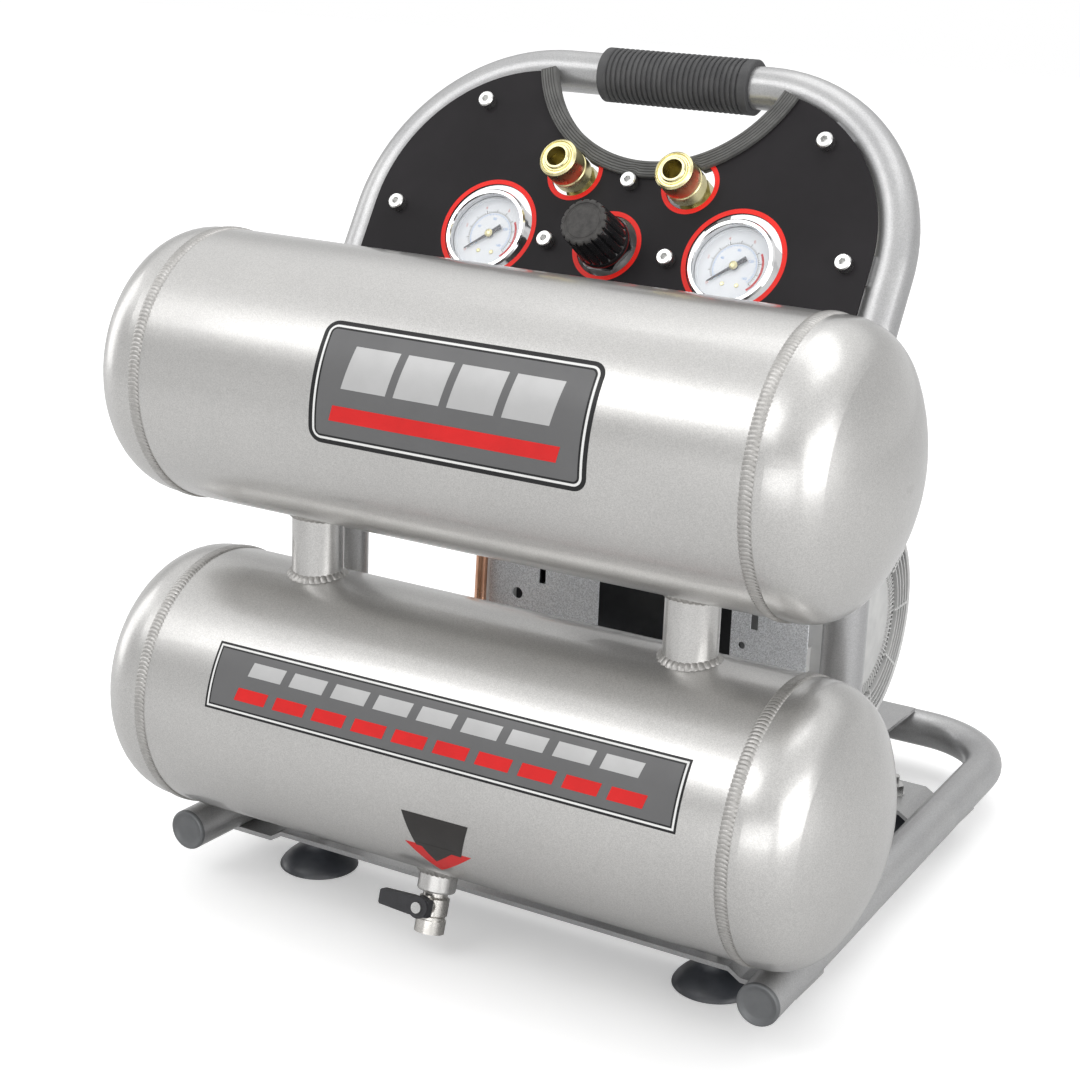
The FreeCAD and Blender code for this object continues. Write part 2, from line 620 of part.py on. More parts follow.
def make_manifold():
    """Air block behind the panel, and the safety valve on its end."""
    n = MANIFOLD_N
    long_bar = box((-96, 96), (GAUGE_AT[1] - 8, GAUGE_AT[1] + 8), n)
    web = box((-12, 12), (GAUGE_AT[1], COUPLER_AT[1] + 8), n)
    short_bar = box((-50, 50), (COUPLER_AT[1] - 8, COUPLER_AT[1] + 8), n)
    block = fused([long_bar, web, short_bar])
    save("air_manifold", on_panel(block))

    s, deep = GAUGE_AT[1], (n[0] + n[1]) / 2.0
    valve = turned([(2.2, 0), (6.0, 0), (6.0, 6), (8.0, 6), (8.0, 22), (5.5, 24), (5.5, 30),
                    (PULL_PIN + RUN, 30), (PULL_PIN + RUN, 2), (2.2, 2)],
                   Vector(-1, 0, 0), Vector(-96, s, deep))
    save("relief_valve", on_panel(valve))
    stem = rod(PULL_PIN, (-100, s, deep), (-133, s, deep))
    loop = Part.makeTorus(9.0, 1.2, Vector(-141, s, deep), Vector(0, 0, 1))
    save("relief_ring", on_panel(fused([stem, loop])))


def supply_pipe():
    """Pipe from the back of the upper tank up to the air block."""
    foot = panel_point(SUPPLY_X, GAUGE_AT[1] - 8, (MANIFOLD_N[0] + MANIFOLD_N[1]) / 2.0)
    slope = Vector(0, math.sin(SLOPE), math.cos(SLOPE))
    corner = foot - slope * ((foot.z - UPPER_Z) / slope.z)
    path = joined_path([(SUPPLY_X, TANK_R + 14, UPPER_Z), corner, foot], (22.0,))
    return pipe(path, 5.0, 3.5)


def make_switch():
    """Pressure switch: base, cover, its lever and the gland for the mains lead."""
    x, s, n = SWITCH_X, SWITCH_S, SWITCH_N
    base = box(x, s, (n[1] - 8.0, n[1]))
    nipple = rod(6.0, (0, s[1] - 12, n[1]), (0, s[1] - 12, MANIFOLD_N[0]))
    save("switch_base", on_panel(fused([base, nipple])))
    shell = box(x, s, (n[0], n[1] - 8.0)).cut(
        box((x[0] + 2, x[1] - 2), (s[0] + 2, s[1] - 2), (n[0] + 2, n[1])))
    mid_s = (s[0] + s[1]) / 2.0
    mid_n = (n[0] + n[1]) / 2.0
    shell = shell.cut(rod(LEVER_PIN + RUN, (x[1] - 5, mid_s, mid_n), (x[1] + 5, mid_s, mid_n)))
    shell = shell.cut(rod(7.0, (GLAND_X, s[0] - 5, mid_n), (GLAND_X, s[0] + 5, mid_n)))
    save("switch_cover", on_panel(shell))
    pivot = rod(LEVER_PIN, (x[1] - 6, mid_s, mid_n), (x[1] + 3, mid_s, mid_n))
    arm = box((x[1] + 0.6, x[1] + 5.0), (mid_s - 5, mid_s + 26), (mid_n - 5, mid_n + 5))
    save("switch_lever", on_panel(fused([pivot, arm])))
    gland = turned([(GLAND_BORE, -4), (7.0, -4), (7.0, 2), (10.0, 2), (10.0, 9), (7.5, 20),
                    (GLAND_BORE, 20)], Vector(0, -1, 0), Vector(GLAND_X, s[0], mid_n))
    save("cord_gland", on_panel(gland))


# ---- pump ---------------------------------------------------------------------------
def motor_rod(r, x0, x1):
    """A solid cylinder on the motor's axis."""
    return rod(r, (x0, MOTOR_Y, MOTOR_Z), (x1, MOTOR_Y, MOTOR_Z))


def make_motor():
    """Motor shell on rubber mounts, stator, rotor with its cranks, and bearings."""
    tube = motor_rod(MOTOR_R, -MOTOR_HALF, MOTOR_HALF)
    tube = tube.cut(motor_rod(MOTOR_R - 4, -MOTOR_HALF + 6, MOTOR_HALF - 6))
    tube = tube.cut(motor_rod(BEARING_R, -MOTOR_HALF - 1, MOTOR_HALF + 1))
    foot_z = (PLATE_TOP + MOUNT_H, PLATE_TOP + MOUNT_H + 4.0)
    foot = box((-MOTOR_HALF, MOTOR_HALF), (MOTOR_Y - 56, MOTOR_Y + 56), foot_z)
    walls = [box((x - 3, x + 3), (MOTOR_Y - 34, MOTOR_Y + 34), (foot_z[1], MOTOR_Z - 30))
             for x in (-40.0, 40.0)]
    hollow = motor_rod(MOTOR_R - 2, -MOTOR_HALF, MOTOR_HALF)
    tube = fused([tube, foot] + [w.cut(hollow) for w in walls])
    for x in (-MOUNT_X, MOUNT_X):
        for y in (MOTOR_Y - MOUNT_Y, MOTOR_Y + MOUNT_Y):
            tube = tube.cut(rod(3.2, (x, y, 60), (x, y, 80)))
    save("motor_shell", tube)
    save("stator", motor_rod(MOTOR_R - 4, -32, 32).cut(motor_rod(28.0, -33, 33)))
    bearings = [ring(BEARING_R, SHAFT_R + RUN, (side * (MOTOR_HALF - 8), MOTOR_Y, MOTOR_Z),
                     (side * MOTOR_HALF, MOTOR_Y, MOTOR_Z)) for side in SIDES]
    save("motor_bearings", *bearings)

    core = [motor_rod(27.0, -32, 32), motor_rod(SHAFT_R, -SHAFT_HALF, SHAFT_HALF)]
    for side, up in zip(SIDES, (-1, 1)):
        z = MOTOR_Z
        y = MOTOR_Y + up * CRANK
        core.append(rod(10.0, (side * (CYL_X - 5), y, z), (side * (CYL_X + 5), y, z)))
    save("rotor_shaft", fused(core))

    mounts = []
    bolts = []
    for x in (-MOUNT_X, MOUNT_X):
        for y in (MOTOR_Y - MOUNT_Y, MOTOR_Y + MOUNT_Y):
            mounts.append(turned([(3.2, 0), (12, 0), (12, 5), (9.5, 8), (9.5, 12), (12, 15),
                                  (12, MOUNT_H), (3.2, MOUNT_H)], Z_AXIS, Vector(x, y, PLATE_TOP)))
            shank = rod(3.0, (x, y, RAIL_Z + TUBE_R - 6), (x, y, PLATE_TOP + MOUNT_H + 12))
            low = hexagon(10.0, 5.0, (x, y, RAIL_Z + TUBE_R - 5.0))
            high = hexagon(10.0, 5.0, (x, y, PLATE_TOP + MOUNT_H + 4.0))
            bolts.append(fused([shank, low, high]))
    save("motor_mounts", *mounts)
    save("frame_bolts", *make_foot_bolts(), *bolts)


def make_pump():
    """Crankcases, cylinders, heads, pistons, filters, capacitor and fans."""
    cases, cylinders, heads, filters = [], [], [], []
    case = motor_rod(CASE_R, *CASE_X).cut(motor_rod(CASE_R - 4, CASE_X[0] + 3, CASE_X[1] - 3))
    neck = box((CASE_X[0], CASE_X[1]), (MOTOR_Y - 24, MOTOR_Y + 24), (MOTOR_Z, MOTOR_Z + 52))
    hollow = motor_rod(CASE_R - 4, CASE_X[0] + 3, CASE_X[1] - 3)
    bore = rod(CYL_R, (CYL_X, MOTOR_Y, MOTOR_Z + 10), (CYL_X, MOTOR_Y, MOTOR_Z + 90))
    throat = box((CASE_X[0] + 3, CASE_X[1] - 3), (MOTOR_Y - 21, MOTOR_Y + 21), (MOTOR_Z, MOTOR_Z + 60))
    case = fused([case, neck.cut(hollow)]).cut(throat.common(bore))
    case = case.cut(motor_rod(SHAFT_R + 1.5, CASE_X[0] - 1, CASE_X[1] + 1))
    case = max(case.Solids, key=lambda s: s.Volume)
    cases += both(case)
    deck = MOTOR_Z + 52
    barrel = ring(CYL_R + 3, CYL_R, (CYL_X, MOTOR_Y, deck), (CYL_X, MOTOR_Y, HEAD_Z))
    fins = [ring(CYL_R + 8, CYL_R + 3, (CYL_X, MOTOR_Y, z), (CYL_X, MOTOR_Y, z + 2))
            for z in range(int(deck) + 5, int(HEAD_Z) - 3, 6)]
    flange = box((CYL_X - 28, CYL_X + 28), (MOTOR_Y - 30, MOTOR_Y + 30), (HEAD_Z - 3, HEAD_Z))
    flange = flange.cut(rod(CYL_R, (CYL_X, MOTOR_Y, 200), (CYL_X, MOTOR_Y, 260)))
    cylinders += both(fused([barrel, flange] + fins))
    head = box((CYL_X - 28, CYL_X + 28), (MOTOR_Y - 30, MOTOR_Y + 30), (HEAD_Z, HEAD_Z + 10))
    ribs = [box((CYL_X - 26, CYL_X + 26), (MOTOR_Y + y - 1.2, MOTOR_Y + y + 1.2),
                (HEAD_Z + 10, HEAD_Z + 24)) for y in (-26, -18, -10, -2, 6, 14, 22)]
    port = rod(8.0, (CYL_X, MOTOR_Y - 30, HEAD_Z + 12), (CYL_X, MOTOR_Y + 30, HEAD_Z + 12))
    corners = [(CYL_X + dx, MOTOR_Y + dy) for dx in (-22, 22) for dy in (-22, 22)]
    bolts = [rod(4.5, (x, y, HEAD_Z + 10), (x, y, HEAD_Z + 15)) for x, y in corners]
    heads += both(fused([head, port] + ribs + bolts))
    can = turned([(0, 0), (6, 0), (6, 8), (15, 8), (15, 40), (12, 43), (0, 43)], Y_AXIS,
                 Vector(CYL_X, MOTOR_Y + 30, HEAD_Z + 12))
    filters += both(can)
    save("crankcases", *cases)
    save("cylinders", *cylinders)
    save("cylinder_heads", *heads)
    save("intake_filters", *filters)

    for side, name in zip(SIDES, ("left", "right")):
        crown_z = deck + 20
        x = side * CYL_X
        crown = rod(CYL_R - 0.3, (x, MOTOR_Y, crown_z - 4), (x, MOTOR_Y, crown_z + 4))
        blade = box((x - 4, x + 4), (MOTOR_Y - 6, MOTOR_Y + 6), (MOTOR_Z + 22, crown_z))
        eye = ring(ROD_EYE + 4, ROD_EYE, (x - 4, MOTOR_Y, MOTOR_Z), (x + 4, MOTOR_Y, MOTOR_Z))
        blade = blade.cut(rod(ROD_EYE, (x - 9, MOTOR_Y, MOTOR_Z), (x + 9, MOTOR_Y, MOTOR_Z)))
        save(name + "_piston", fused([crown, blade, eye]))

    body = rod(16.0, (-31, MOTOR_Y, CAPACITOR_Z), (31, MOTOR_Y, CAPACITOR_Z))
    ends = [rod(16.8, (x, MOTOR_Y, CAPACITOR_Z), (x + 4, MOTOR_Y, CAPACITOR_Z)) for x in (-35, 31)]
    saddle = box((-10, 10), (MOTOR_Y - 12, MOTOR_Y + 12), (MOTOR_Z + MOTOR_R - 6, CAPACITOR_Z))
    saddle = saddle.cut(motor_rod(MOTOR_R, -60, 60))
    save("capacitor", fused([body, saddle] + ends))

    fans = []
    for side in SIDES:
        hub = ring(14.0, SHAFT_R, (side * (FAN_X - 6), MOTOR_Y, MOTOR_Z),
                   (side * (FAN_X + 6), MOTOR_Y, MOTOR_Z))
        blades = []
        for i in range(FAN_BLADES):
            blade = box((-1.1, 1.1), (-7.6, 7.6), (10.0, 64.0))
            blade.rotate(Vector(0, 0, 0), Z_AXIS, 62.0 * side)
            blade.rotate(Vector(0, 0, 0), X_AXIS, 360.0 * i / FAN_BLADES)
            blade.translate(Vector(side * FAN_X, MOTOR_Y, MOTOR_Z))
            blades.append(blade.cut(motor_rod(SHAFT_R, -200, 200)))
        fans.append(fused([hub] + blades))
    save("cooling_fans", *fans)


def make_guards():
    """Ringed fan guards, and the folded sheet in front of the motor."""
    rim = motor_rod(GUARD_R, *GUARD_X).cut(motor_rod(GUARD_R - 3.0, GUARD_X[0] - 1, GUARD_X[1] + 1))
    x0, x1 = GUARD_X[1] - 4.0, GUARD_X[1]
    bars = [motor_rod(r + 1.0, x0, x1).cut(motor_rod(r - 1.0, x0 - 1, x1 + 1))
            for r in (53.0, 57.5, 62.0, 66.5)]
    hub = turned([(0, 2), (14, 2), (42, -1), (49.5, -1), (49.5, -4), (42, -4), (14, -1), (0, -1)], X_AXIS,
                 Vector(x1 - 2.0, MOTOR_Y, MOTOR_Z))
    spokes = []
    for i in range(GUARD_SPOKES):
        spoke = box((x0, x1 - 1.0), (-1.0, 1.0), (48.0, GUARD_R - 1.0))
        spoke.rotate(Vector(0, 0, 0), X_AXIS, 360.0 * (i + 0.5) / GUARD_SPOKES)
        spoke.translate(Vector(0, MOTOR_Y, MOTOR_Z))
        spokes.append(spoke)
    back = motor_rod(GUARD_R - 1, GUARD_X[0], GUARD_X[0] + 1.2).cut(motor_rod(CASE_R - 6, 90, 120))
    tab = box((106.0, 117.0), (SHROUD_Y + 1.2, SHROUD_Y + 9.0), (MOTOR_Z - 8, MOTOR_Z + 8))
    tab = tab.cut(motor_rod(GUARD_R - 1.5, 90, 130))
    guard = fused([rim, hub, back, tab] + bars + spokes)
    save("right_fan_guard", guard)
    save("left_fan_guard", mirrored(guard))

    y, z = (SHROUD_Y, SHROUD_Y + 1.2), SHROUD_Z
    front = box((-117.0, 117.0), y, z)
    top = box((-96.0, 96.0), (y[0], y[0] + 20), (z[1] - 1.2, z[1]))
    low = box((-96.0, 96.0), (y[0], y[0] + 20), (z[0], z[0] + 1.2))
    sheet = fused([front, top, low])
    through = (y[0] - 2, y[1] + 2)
    sheet = sheet.cut(box(SHROUD_WINDOW, through, (118.0, 178.0)))
    sheet = sheet.cut(box(SHROUD_SEAM, through, (SHROUD_Z[0] + 8, SHROUD_Z[1] - 8)))
    for x, height in ((-76.0, 166.0), (80.0, 166.0)):
        sheet = sheet.cut(box((x - 2.6, x + 2.6), through, (height - 6, height + 6)))
    for x, height, r in ((-95.0, 150.0, 4.0), (72.0, 148.0, 2.5),
                         (-100.0, 120.0, 4.0), (100.0, 120.0, 4.0)):
        sheet = sheet.cut(rod(r, (x, through[0], height), (x, through[1], height)))
    save("motor_shroud", sheet)


def make_air_lines():
    """Copper pipes to and from the tanks, and the tank fittings."""
    check_end = TANK_R + 34.0
    start = (-CYL_X, MOTOR_Y - 31.5, HEAD_Z + 12)
    route = [start, (-CYL_X, 205.0, HEAD_Z + 12), (-PIPE_X, 190.0, HEAD_Z - 20),
             (-PIPE_X, 186.0, LOWER_Z), (CHECK_X, 150.0, LOWER_Z), (CHECK_X, check_end, LOWER_Z)]
    discharge = pipe(joined_path(route, (12.0, 16.0, 16.0, 22.0)), 4.0, 3.0)
    save("copper_pipes", discharge, supply_pipe())
    saddle = rod(TANK_R, (-260, 0, LOWER_Z), (260, 0, LOWER_Z))
    valve = turned([(3.5, 64), (9.5, 64), (9.5, 88), (8.5, 88), (8.5, 106), (10, 106), (10, 114),
                    (4.0, 114), (4.0, 104), (3.5, 104)], Y_AXIS, Vector(CHECK_X, 0, LOWER_Z))
    nut = turned([(4.0, 114), (7.5, 114), (7.5, 121), (4.0, 121)], Y_AXIS, Vector(CHECK_X, 0, LOWER_Z))
    upper = rod(TANK_R, (-260, 0, UPPER_Z), (260, 0, UPPER_Z))
    elbow = turned([(3.5, 64), (8.5, 64), (8.5, 94.5), (3.5, 94.5)], Y_AXIS, Vector(SUPPLY_X, 0, UPPER_Z))
    fittings = [fused([valve, nut]).cut(saddle), elbow.cut(upper)]
    fittings = [max(f.Solids, key=lambda s: s.Volume) for f in fittings]
    save("tank_fittings", *fittings)


# ---- drain --------------------------------------------------------------------------
def make_drain():
    """Threaded bung, ball valve, and the lever that turns the ball."""
    axis = (drain_axis(100) - drain_axis(0)).normalize()
    tank = rod(TANK_R, (-260, 0, LOWER_Z), (260, 0, LOWER_Z))
    base = drain_axis(0)
    bung = turned([(5.0, 70), (11.5, 70), (11.5, 92), (10.8, 93), (5.0, 93)], axis, base).cut(tank)
    bung = max(bung.Solids, key=lambda s: s.Volume)
    save("drain_bung", bung)
    front = Vector(0, -math.cos(math.radians(DRAIN_TILT)), math.sin(math.radians(DRAIN_TILT)))
    ball_at = drain_axis(101.5)
    body = turned([(3.0, 93), (7.4, 93), (7.4, 96), (9.0, 97), (9.0, 107), (8.0, 108), (8.0, 110),
                   (9.0, 110), (9.0, 118), (OUTLET_R, 118), (OUTLET_R, 109.5), (3.0, 108)],
                  axis, base)
    boss = rod(5.6, ball_at, ball_at + front * 11.5)
    body = fused([body, boss])
    body = body.cut(Part.makeSphere(BALL_R + RUN, ball_at))
    body = body.cut(rod(VALVE_STEM + RUN, ball_at, ball_at + front * 13))
    save("drain_valve_body", body)
    ball = Part.makeSphere(BALL_R, ball_at)
    ball = ball.cut(rod(2.6, ball_at - X_AXIS * 10, ball_at + X_AXIS * 10))
    stem = rod(VALVE_STEM, ball_at + front * 4, ball_at + front * 15.2)
    ball = fused([ball, stem.cut(rod(2.6, ball_at - X_AXIS * 10, ball_at + X_AXIS * 10))])
    save("drain_ball", ball)
    outline = [(6.5, -5.0), (6.5, 5.0), (-6.0, 5.6), (-26.5, 4.6), (-27.5, 3.6), (-27.5, -3.6),
               (-26.5, -4.6), (-6.0, -5.6)]
    points = [ball_at + X_AXIS * x + axis * -h + front * 12.0 for x, h in outline]
    arm = Part.Face(Part.makePolygon(points + points[:1])).extrude(front * 5.4)
    skirt = rod(6.5, ball_at + front * 12.0, ball_at + front * 18.4)
    lever = fused([arm, skirt])
    lever = lever.cut(rod(VALVE_STEM, ball_at + front * 11, ball_at + front * 15.2))
    lever = lever.cut(rod(1.8, ball_at + front * 15, ball_at + front * 20))
    save("drain_lever", lever)
    head = rod(3.3, ball_at + front * 18.4, ball_at + front * 20.2)
    head = head.fuse(rod(1.8, ball_at + front * 15.2, ball_at + front * 18.4))
    save("drain_lever_screw", head.removeSplitter())


def main():
    """Build every piece and print its size."""
    os.makedirs("parts", exist_ok=True)
    make_tanks()
    make_frame()
    make_panel()
    make_gauges()
    make_regulator()
    make_couplers()
    make_manifold()
    make_switch()
    make_motor()
    make_pump()
    make_guards()
    make_air_lines()
    make_drain()
    for name, shape in EXPORTED:
        b = shape.BoundBox
        print("%-22s %2d solids  X %7.1f %7.1f  Y %7.1f %7.1f  Z %6.1f %6.1f  %8.0f mm3"
              % (name, len(shape.Solids), b.XMin, b.XMax, b.YMin, b.YMax, b.ZMin, b.ZMax, shape.Volume))
    print(len(EXPORTED), "nodes")


main()
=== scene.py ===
"""Twin-tank air compressor: finishes, fine shapes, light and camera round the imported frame."""

import json
import logging
import math
from dataclasses import dataclass
from enum import Enum
from typing import Any, Iterable, Sequence

import bmesh
import bpy
from mathutils import Matrix, Vector

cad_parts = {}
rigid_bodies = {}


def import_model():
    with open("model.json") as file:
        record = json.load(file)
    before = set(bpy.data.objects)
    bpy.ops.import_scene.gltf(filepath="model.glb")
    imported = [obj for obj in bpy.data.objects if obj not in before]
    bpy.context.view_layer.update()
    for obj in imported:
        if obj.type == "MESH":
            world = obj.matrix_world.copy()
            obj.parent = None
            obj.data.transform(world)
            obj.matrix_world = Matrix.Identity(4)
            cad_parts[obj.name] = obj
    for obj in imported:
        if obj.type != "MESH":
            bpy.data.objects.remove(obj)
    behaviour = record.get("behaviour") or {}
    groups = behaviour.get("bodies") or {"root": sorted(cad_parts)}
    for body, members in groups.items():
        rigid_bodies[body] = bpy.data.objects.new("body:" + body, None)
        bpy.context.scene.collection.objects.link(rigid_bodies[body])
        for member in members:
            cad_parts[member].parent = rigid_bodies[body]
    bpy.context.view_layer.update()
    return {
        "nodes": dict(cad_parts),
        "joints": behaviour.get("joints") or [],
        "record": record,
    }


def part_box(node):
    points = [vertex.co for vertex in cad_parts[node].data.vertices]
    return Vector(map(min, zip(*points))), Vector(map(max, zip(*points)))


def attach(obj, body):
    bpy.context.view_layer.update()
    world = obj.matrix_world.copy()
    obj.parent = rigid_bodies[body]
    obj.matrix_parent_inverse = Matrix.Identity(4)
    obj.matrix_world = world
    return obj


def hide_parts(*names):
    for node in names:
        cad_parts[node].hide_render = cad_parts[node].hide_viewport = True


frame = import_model()
LOG = logging.getLogger("compressor")
MM = 0.001
X_AXIS = Vector((1.0, 0.0, 0.0))
Y_AXIS = Vector((0.0, 1.0, 0.0))
Z_AXIS = Vector((0.0, 0.0, 1.0))
JOINTS = {joint["name"]: joint for joint in frame["joints"]}
MOUNTS = {mount["name"]: mount for mount in frame["record"]["mounts"]}
STATIC = "frame"
SHARP = math.radians(35.0)
MERGED = 1e-7
BUMP_DEPTH = 0.4 * MM
Span = tuple[float, float]
Triple = tuple[float, float, float]
Points = Sequence[Span]
Sockets = dict[str, tuple[str, Any]]


# ---- node trees ---------------------------------------------------------------------
class NodeSheet:
    """Adds nodes to one tree and feeds their inputs."""

    def __init__(self, tree: bpy.types.NodeTree) -> None:
        """Keep the tree that the nodes go into."""
        self.tree = tree

    def add(self, kind: str, values: dict[Any, Any] | None = None, **settings: Any) -> bpy.types.Node:
        """Make one node.

        Args:
            kind: the node's type name.
            values: input name or number to a constant or to the output that feeds it.
            settings: properties of the node itself.

        Returns:
            The node.
        """
        node = self.tree.nodes.new(kind)
        for key, value in settings.items():
            setattr(node, key, value)
        return self.feed(node, values or {})

    def feed(self, node: bpy.types.Node, values: dict[Any, Any]) -> bpy.types.Node:
        """Set each named input to its constant, or link it to its output, and give the node back."""
        for key, value in values.items():
            if isinstance(value, bpy.types.NodeSocket):
                self.tree.links.new(value, node.inputs[key])
            else:
                node.inputs[key].default_value = value
        return node

    def out(self, kind: str, values: dict[Any, Any] | None = None,
            **settings: Any) -> bpy.types.NodeSocket:
        """Make one node and give its first output."""
        return self.add(kind, values, **settings).outputs[0]

    def maths(self, operation: str, *values: Any) -> bpy.types.NodeSocket:
        """The result of one Math node, fed with numbers or outputs."""
        return self.out("ShaderNodeMath", dict(enumerate(values)), operation=operation)

    def vector(self, operation: str, *values: Any) -> bpy.types.NodeSocket:
        """The vector result of one Vector Math node."""
        return self.out("ShaderNodeVectorMath", dict(enumerate(values)), operation=operation)


class GroupSheet(NodeSheet):
    """A sheet over a new node group, whose enter and leave nodes carry its named sockets."""

    def __init__(self, name: str, kind: str, inputs: Sockets, outputs: dict[str, str]) -> None:
        """Make the empty group.

        Args:
            name: the group's name.
            kind: ShaderNodeTree or GeometryNodeTree.
            inputs: socket name to its type and default value.
            outputs: socket name to its type.
        """
        super().__init__(bpy.data.node_groups.new(name, kind))
        ports = self.tree.interface
        for label, (socket_type, default) in inputs.items():
            socket = ports.new_socket(label, in_out="INPUT", socket_type="NodeSocket" + socket_type)
            if default is not None:
                socket.default_value = default
        for label, socket_type in outputs.items():
            ports.new_socket(label, in_out="OUTPUT", socket_type="NodeSocket" + socket_type)
        self.enter = self.tree.nodes.new("NodeGroupInput").outputs
        self.leave = self.tree.nodes.new("NodeGroupOutput")

    def give(self, **results: bpy.types.NodeSocket) -> bpy.types.NodeTree:
        """Link the group's outputs and give its tree."""
        self.feed(self.leave, results)
        return self.tree


# ---- shader groups ------------------------------------------------------------------
class Effect(Enum):
    """How a finish breaks up its surface."""

    GRAIN = "fine_grain"
    LINES = "drawn_lines"
    FLAKE = "metal_flake"
    SPECKLE = "zinc_speckle"


class EffectShelf:
    """The shader groups that the finishes share, each built once."""

    def __init__(self) -> None:
        """Build every group."""
        self.wander = self._wander()
        self.groups = {Effect.GRAIN: self._grain(), Effect.LINES: self._lines(),
                       Effect.FLAKE: self._flake(), Effect.SPECKLE: self._speckle()}

    @staticmethod
    def _wander() -> bpy.types.NodeTree:
        """Colour that drifts between two tints, and roughness that drifts with it."""
        sheet = GroupSheet("wander", "ShaderNodeTree",
                           {"Vector": ("Vector", None), "Tint": ("Color", None), "Shade": ("Color", None),
                            "Patches": ("Float", 30.0), "Roughness": ("Float", 0.4),
                            "Spread": ("Float", 0.05)},
                           {"Color": "Color", "Roughness": "Float"})
        into = sheet.enter
        noise = sheet.out("ShaderNodeTexNoise", {"Vector": into["Vector"], "Scale": into["Patches"],
                                                 "Detail": 4.0, "Roughness": 0.6})
        mask = sheet.out("ShaderNodeMapRange", {"Value": noise, "From Min": 0.35, "From Max": 0.65})
        mix = sheet.add("ShaderNodeMix", {0: mask, 6: into["Tint"], 7: into["Shade"]}, data_type="RGBA")
        rough = sheet.maths("MULTIPLY_ADD", mask, into["Spread"], into["Roughness"])
        return sheet.give(Color=mix.outputs[2], Roughness=rough)

    @staticmethod
    def _surface_group(effect: Effect) -> GroupSheet:
        """An empty group with the sockets that every effect has."""
        return GroupSheet(effect.value, "ShaderNodeTree",
                          {"Vector": ("Vector", None), "Scale": ("Float", 900.0), "Along": ("Vector", None)},
                          {"Height": "Float", "Mask": "Float"})

    def _grain(self) -> bpy.types.NodeTree:
        """Moulding grain: two sizes of noise."""
        sheet = self._surface_group(Effect.GRAIN)
        spot, scale = sheet.enter["Vector"], sheet.enter["Scale"]
        fine = sheet.out("ShaderNodeTexNoise", {"Vector": spot, "Scale": scale, "Detail": 3.0})
        cells = sheet.out("ShaderNodeTexVoronoi", {"Vector": spot, "Scale": scale})
        return sheet.give(Height=sheet.maths("MULTIPLY_ADD", cells, 0.5, fine), Mask=fine)

    def _lines(self) -> bpy.types.NodeTree:
        """Drawn or turned lines: noise that changes mostly along one direction."""
        sheet = self._surface_group(Effect.LINES)
        along = sheet.add("ShaderNodeVectorMath", {0: sheet.enter["Vector"], 1: sheet.enter["Along"]},
                          operation="DOT_PRODUCT").outputs["Value"]
        slow = sheet.vector("MULTIPLY", sheet.enter["Vector"], (0.03, 0.03, 0.03))
        spot = sheet.vector("ADD", slow, sheet.out("ShaderNodeCombineXYZ", {0: along}))
        noise = sheet.out("ShaderNodeTexNoise", {"Vector": spot, "Scale": sheet.enter["Scale"],
                                                 "Detail": 4.0, "Roughness": 0.7})
        return sheet.give(Height=noise, Mask=noise)

    def _flake(self) -> bpy.types.NodeTree:
        """Metallic lacquer: small cells, each at its own level, over a soft orange peel."""
        sheet = self._surface_group(Effect.FLAKE)
        spot, scale = sheet.enter["Vector"], sheet.enter["Scale"]
        cells = sheet.add("ShaderNodeTexVoronoi", {"Vector": spot, "Scale": scale})
        level = sheet.out("ShaderNodeSeparateColor", {0: cells.outputs["Color"]})
        peel = sheet.out("ShaderNodeTexNoise", {"Vector": spot, "Scale": 160.0, "Detail": 2.0})
        return sheet.give(Height=sheet.maths("MULTIPLY_ADD", level, 0.35, peel), Mask=level)

    def _speckle(self) -> bpy.types.NodeTree:
        """Zinc sheet: patches of crystals with dark pin holes."""
        sheet = self._surface_group(Effect.SPECKLE)
        spot, scale = sheet.enter["Vector"], sheet.enter["Scale"]
        cells = sheet.add("ShaderNodeTexVoronoi", {"Vector": spot, "Scale": scale})
        level = sheet.add("ShaderNodeSeparateColor", {0: cells.outputs["Color"]}).outputs[1]
        pins = sheet.out("ShaderNodeMapRange", {"Value": cells.outputs["Distance"], "From Min": 0.05,
                                                "From Max": 0.25})
        return sheet.give(Height=level, Mask=sheet.maths("MULTIPLY", level, pins))


